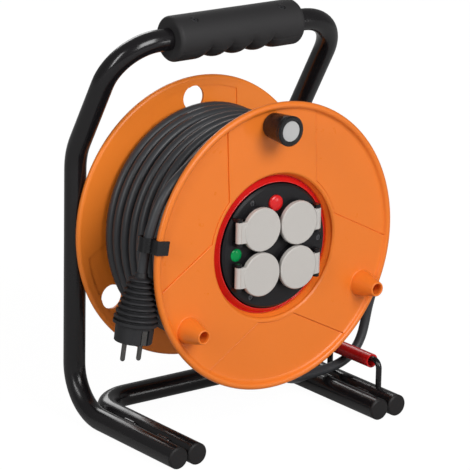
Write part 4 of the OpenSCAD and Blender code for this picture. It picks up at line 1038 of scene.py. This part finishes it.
class REEL_OT_hardware(Operator):
    """Gives the axle, washers, screws, pins, contacts and clip their metals"""

    bl_idname = "cord_reel.hardware"
    bl_label = "Hardware"

    def execute(self, context):
        zinc = metal("Zinc", (0.6, 0.61, 0.62), 0.28)
        steel = metal("Turned steel", (0.5, 0.5, 0.51), 0.25, (0.2, 1, 0.2))
        blued = metal("Blued steel", (0.16, 0.16, 0.17), 0.3)
        brass = metal("Brass", (0.62, 0.44, 0.16), 0.25)
        dress(zinc, "thrust_washer", "end_washer", "barrel_screws", "hinge_pins")
        dress(steel, "axle", "knob_spindle")
        dress(blued, "retaining_ring", "grip_screws", "panel_screws")
        dress(brass, "earth_clips", "contact_sleeves")
        dress(gloss_paint("Clip paint", (0.006, 0.006, 0.007)), "plug_clip")
        return {"FINISHED"}


# ---- stage


FLOOR_R, FLOOR_Z, FLOOR_SIDES = 7000, -0.5, 96
WHITE = rgba((1, 1, 1))
# the lamps: name, setting of the power, width and height, place and aim, in metres
LAMPS = (("Key", "key", (1.7, 1.7), (0.1, -2.9, 1.9), (0, 0, 0.2)),
         ("Side strip", "side", (0.35, 1.6), (-2.3, -0.8, 1.3), (0, 0, 0.25)),
         ("Low strip", "low", (0.25, 0.6), (1.3, -2.0, 0.25), (0, 0, 0.12)),
         ("Back lamp", "back", (1.4, 1.4), (0.9, 2.7, 1.7), (0, 0, 0.2)))


def lamp(name, power, size, at, aim):
    """An area lamp at one point that faces another, in metres."""
    data = bpy.data.lights.new(name, "AREA")
    data.energy, data.shape = power, "RECTANGLE"
    data.size, data.size_y = size
    made = placed(name, data)
    made.location = at
    made.rotation_euler = (Vector(aim) - Vector(at)).to_track_quat("-Z", "Y").to_euler()


class REEL_OT_stage(Operator):
    """Lays a white floor and hangs soft studio lamps"""

    bl_idname = "cord_reel.stage"
    bl_label = "Stage"

    def execute(self, context):
        s = context.scene.cord_reel
        k = np.arange(FLOOR_SIDES)
        turn = k * 2 * pi / FLOOR_SIDES
        rim = np.stack([FLOOR_R * np.cos(turn), FLOOR_R * np.sin(turn), 0 * turn + FLOOR_Z], -1)
        fan = np.stack([k, (k + 1) % FLOOR_SIDES, 0 * k + FLOOR_SIDES], -1)
        mesh = mesh_of("floor", np.concatenate([rim, [[0, 0, FLOOR_Z]]]), (), fan)
        paper = Finish("White paper")
        share = paper.shown(0.1) * 0.86
        tone = paper.mix(paper.noise(0.004, 3), rgba((0.42, 0.42, 0.42)), rgba((0.46, 0.46, 0.46)))
        plain = paper.node("ShaderNodeBsdfDiffuse", {}, {"Color": tone})
        glow = paper.node("ShaderNodeEmission", {}, {"Color": WHITE, "Strength": 1.13})
        paper.finish(paper.node("ShaderNodeMixShader", {}, {0: share, 1: plain, 2: glow}))
        mesh.materials.append(paper.material)
        placed("floor", mesh)

        context.scene.world = bpy.data.worlds.new("Studio")
        air = Tree(context.scene.world, "ShaderNodeOutputWorld")
        share = air.shown(0.05)
        dim = air.node("ShaderNodeBackground", {}, {"Color": WHITE, "Strength": s.stage.fill})
        white = air.node("ShaderNodeBackground", {}, {"Color": WHITE})
        air.finish(air.node("ShaderNodeMixShader", {}, {0: share, 1: dim, 2: white}))

        for name, power, size, at, aim in LAMPS:
            lamp(name, getattr(s.stage, power), size, at, aim)
        context.scene.view_settings.view_transform = "Standard"
        return {"FINISHED"}


# ---- panel and start


class REEL_PT_panel(Panel):
    """Lists the reel's settings and operators in the sidebar"""

    bl_idname = "REEL_PT_panel"
    bl_label = "Cord Reel"
    bl_space_type = "VIEW_3D"
    bl_region_type = "UI"
    bl_category = "Cord Reel"

    def draw(self, context):
        layout = self.layout
        reel = context.scene.cord_reel
        for group in (reel.cable, reel.colours, reel.stage):
            box = layout.box()
            for key in group.__annotations__:
                box.prop(group, key)
        for each in OPERATORS:
            layout.operator(each.bl_idname)


OPERATORS = (REEL_OT_camera, REEL_OT_winding, REEL_OT_slack_loop, REEL_OT_plug, REEL_OT_free_end,
             REEL_OT_tube_frame, REEL_OT_foot_caps, REEL_OT_grip, REEL_OT_drum, REEL_OT_panel, REEL_OT_knob,
             REEL_OT_guide, REEL_OT_hardware, REEL_OT_stage)
CLASSES = (ReelCable, ReelColours, ReelStage, ReelSettings, *OPERATORS, REEL_PT_panel)


def register():
    for each in CLASSES:
        bpy.utils.register_class(each)
    bpy.types.Scene.cord_reel = PointerProperty(type=ReelSettings)


def unregister():
    del bpy.types.Scene.cord_reel
    for each in reversed(CLASSES):
        bpy.utils.unregister_class(each)


def plain(box):
    """Bounds as lists of numbers."""
    return [[float(v) for v in corner] for corner in box]


def main():
    register()
    for each in OPERATORS:
        getattr(bpy.ops.cord_reel, each.bl_idname.split(".")[1])()


if __name__ == "__main__":
    main()
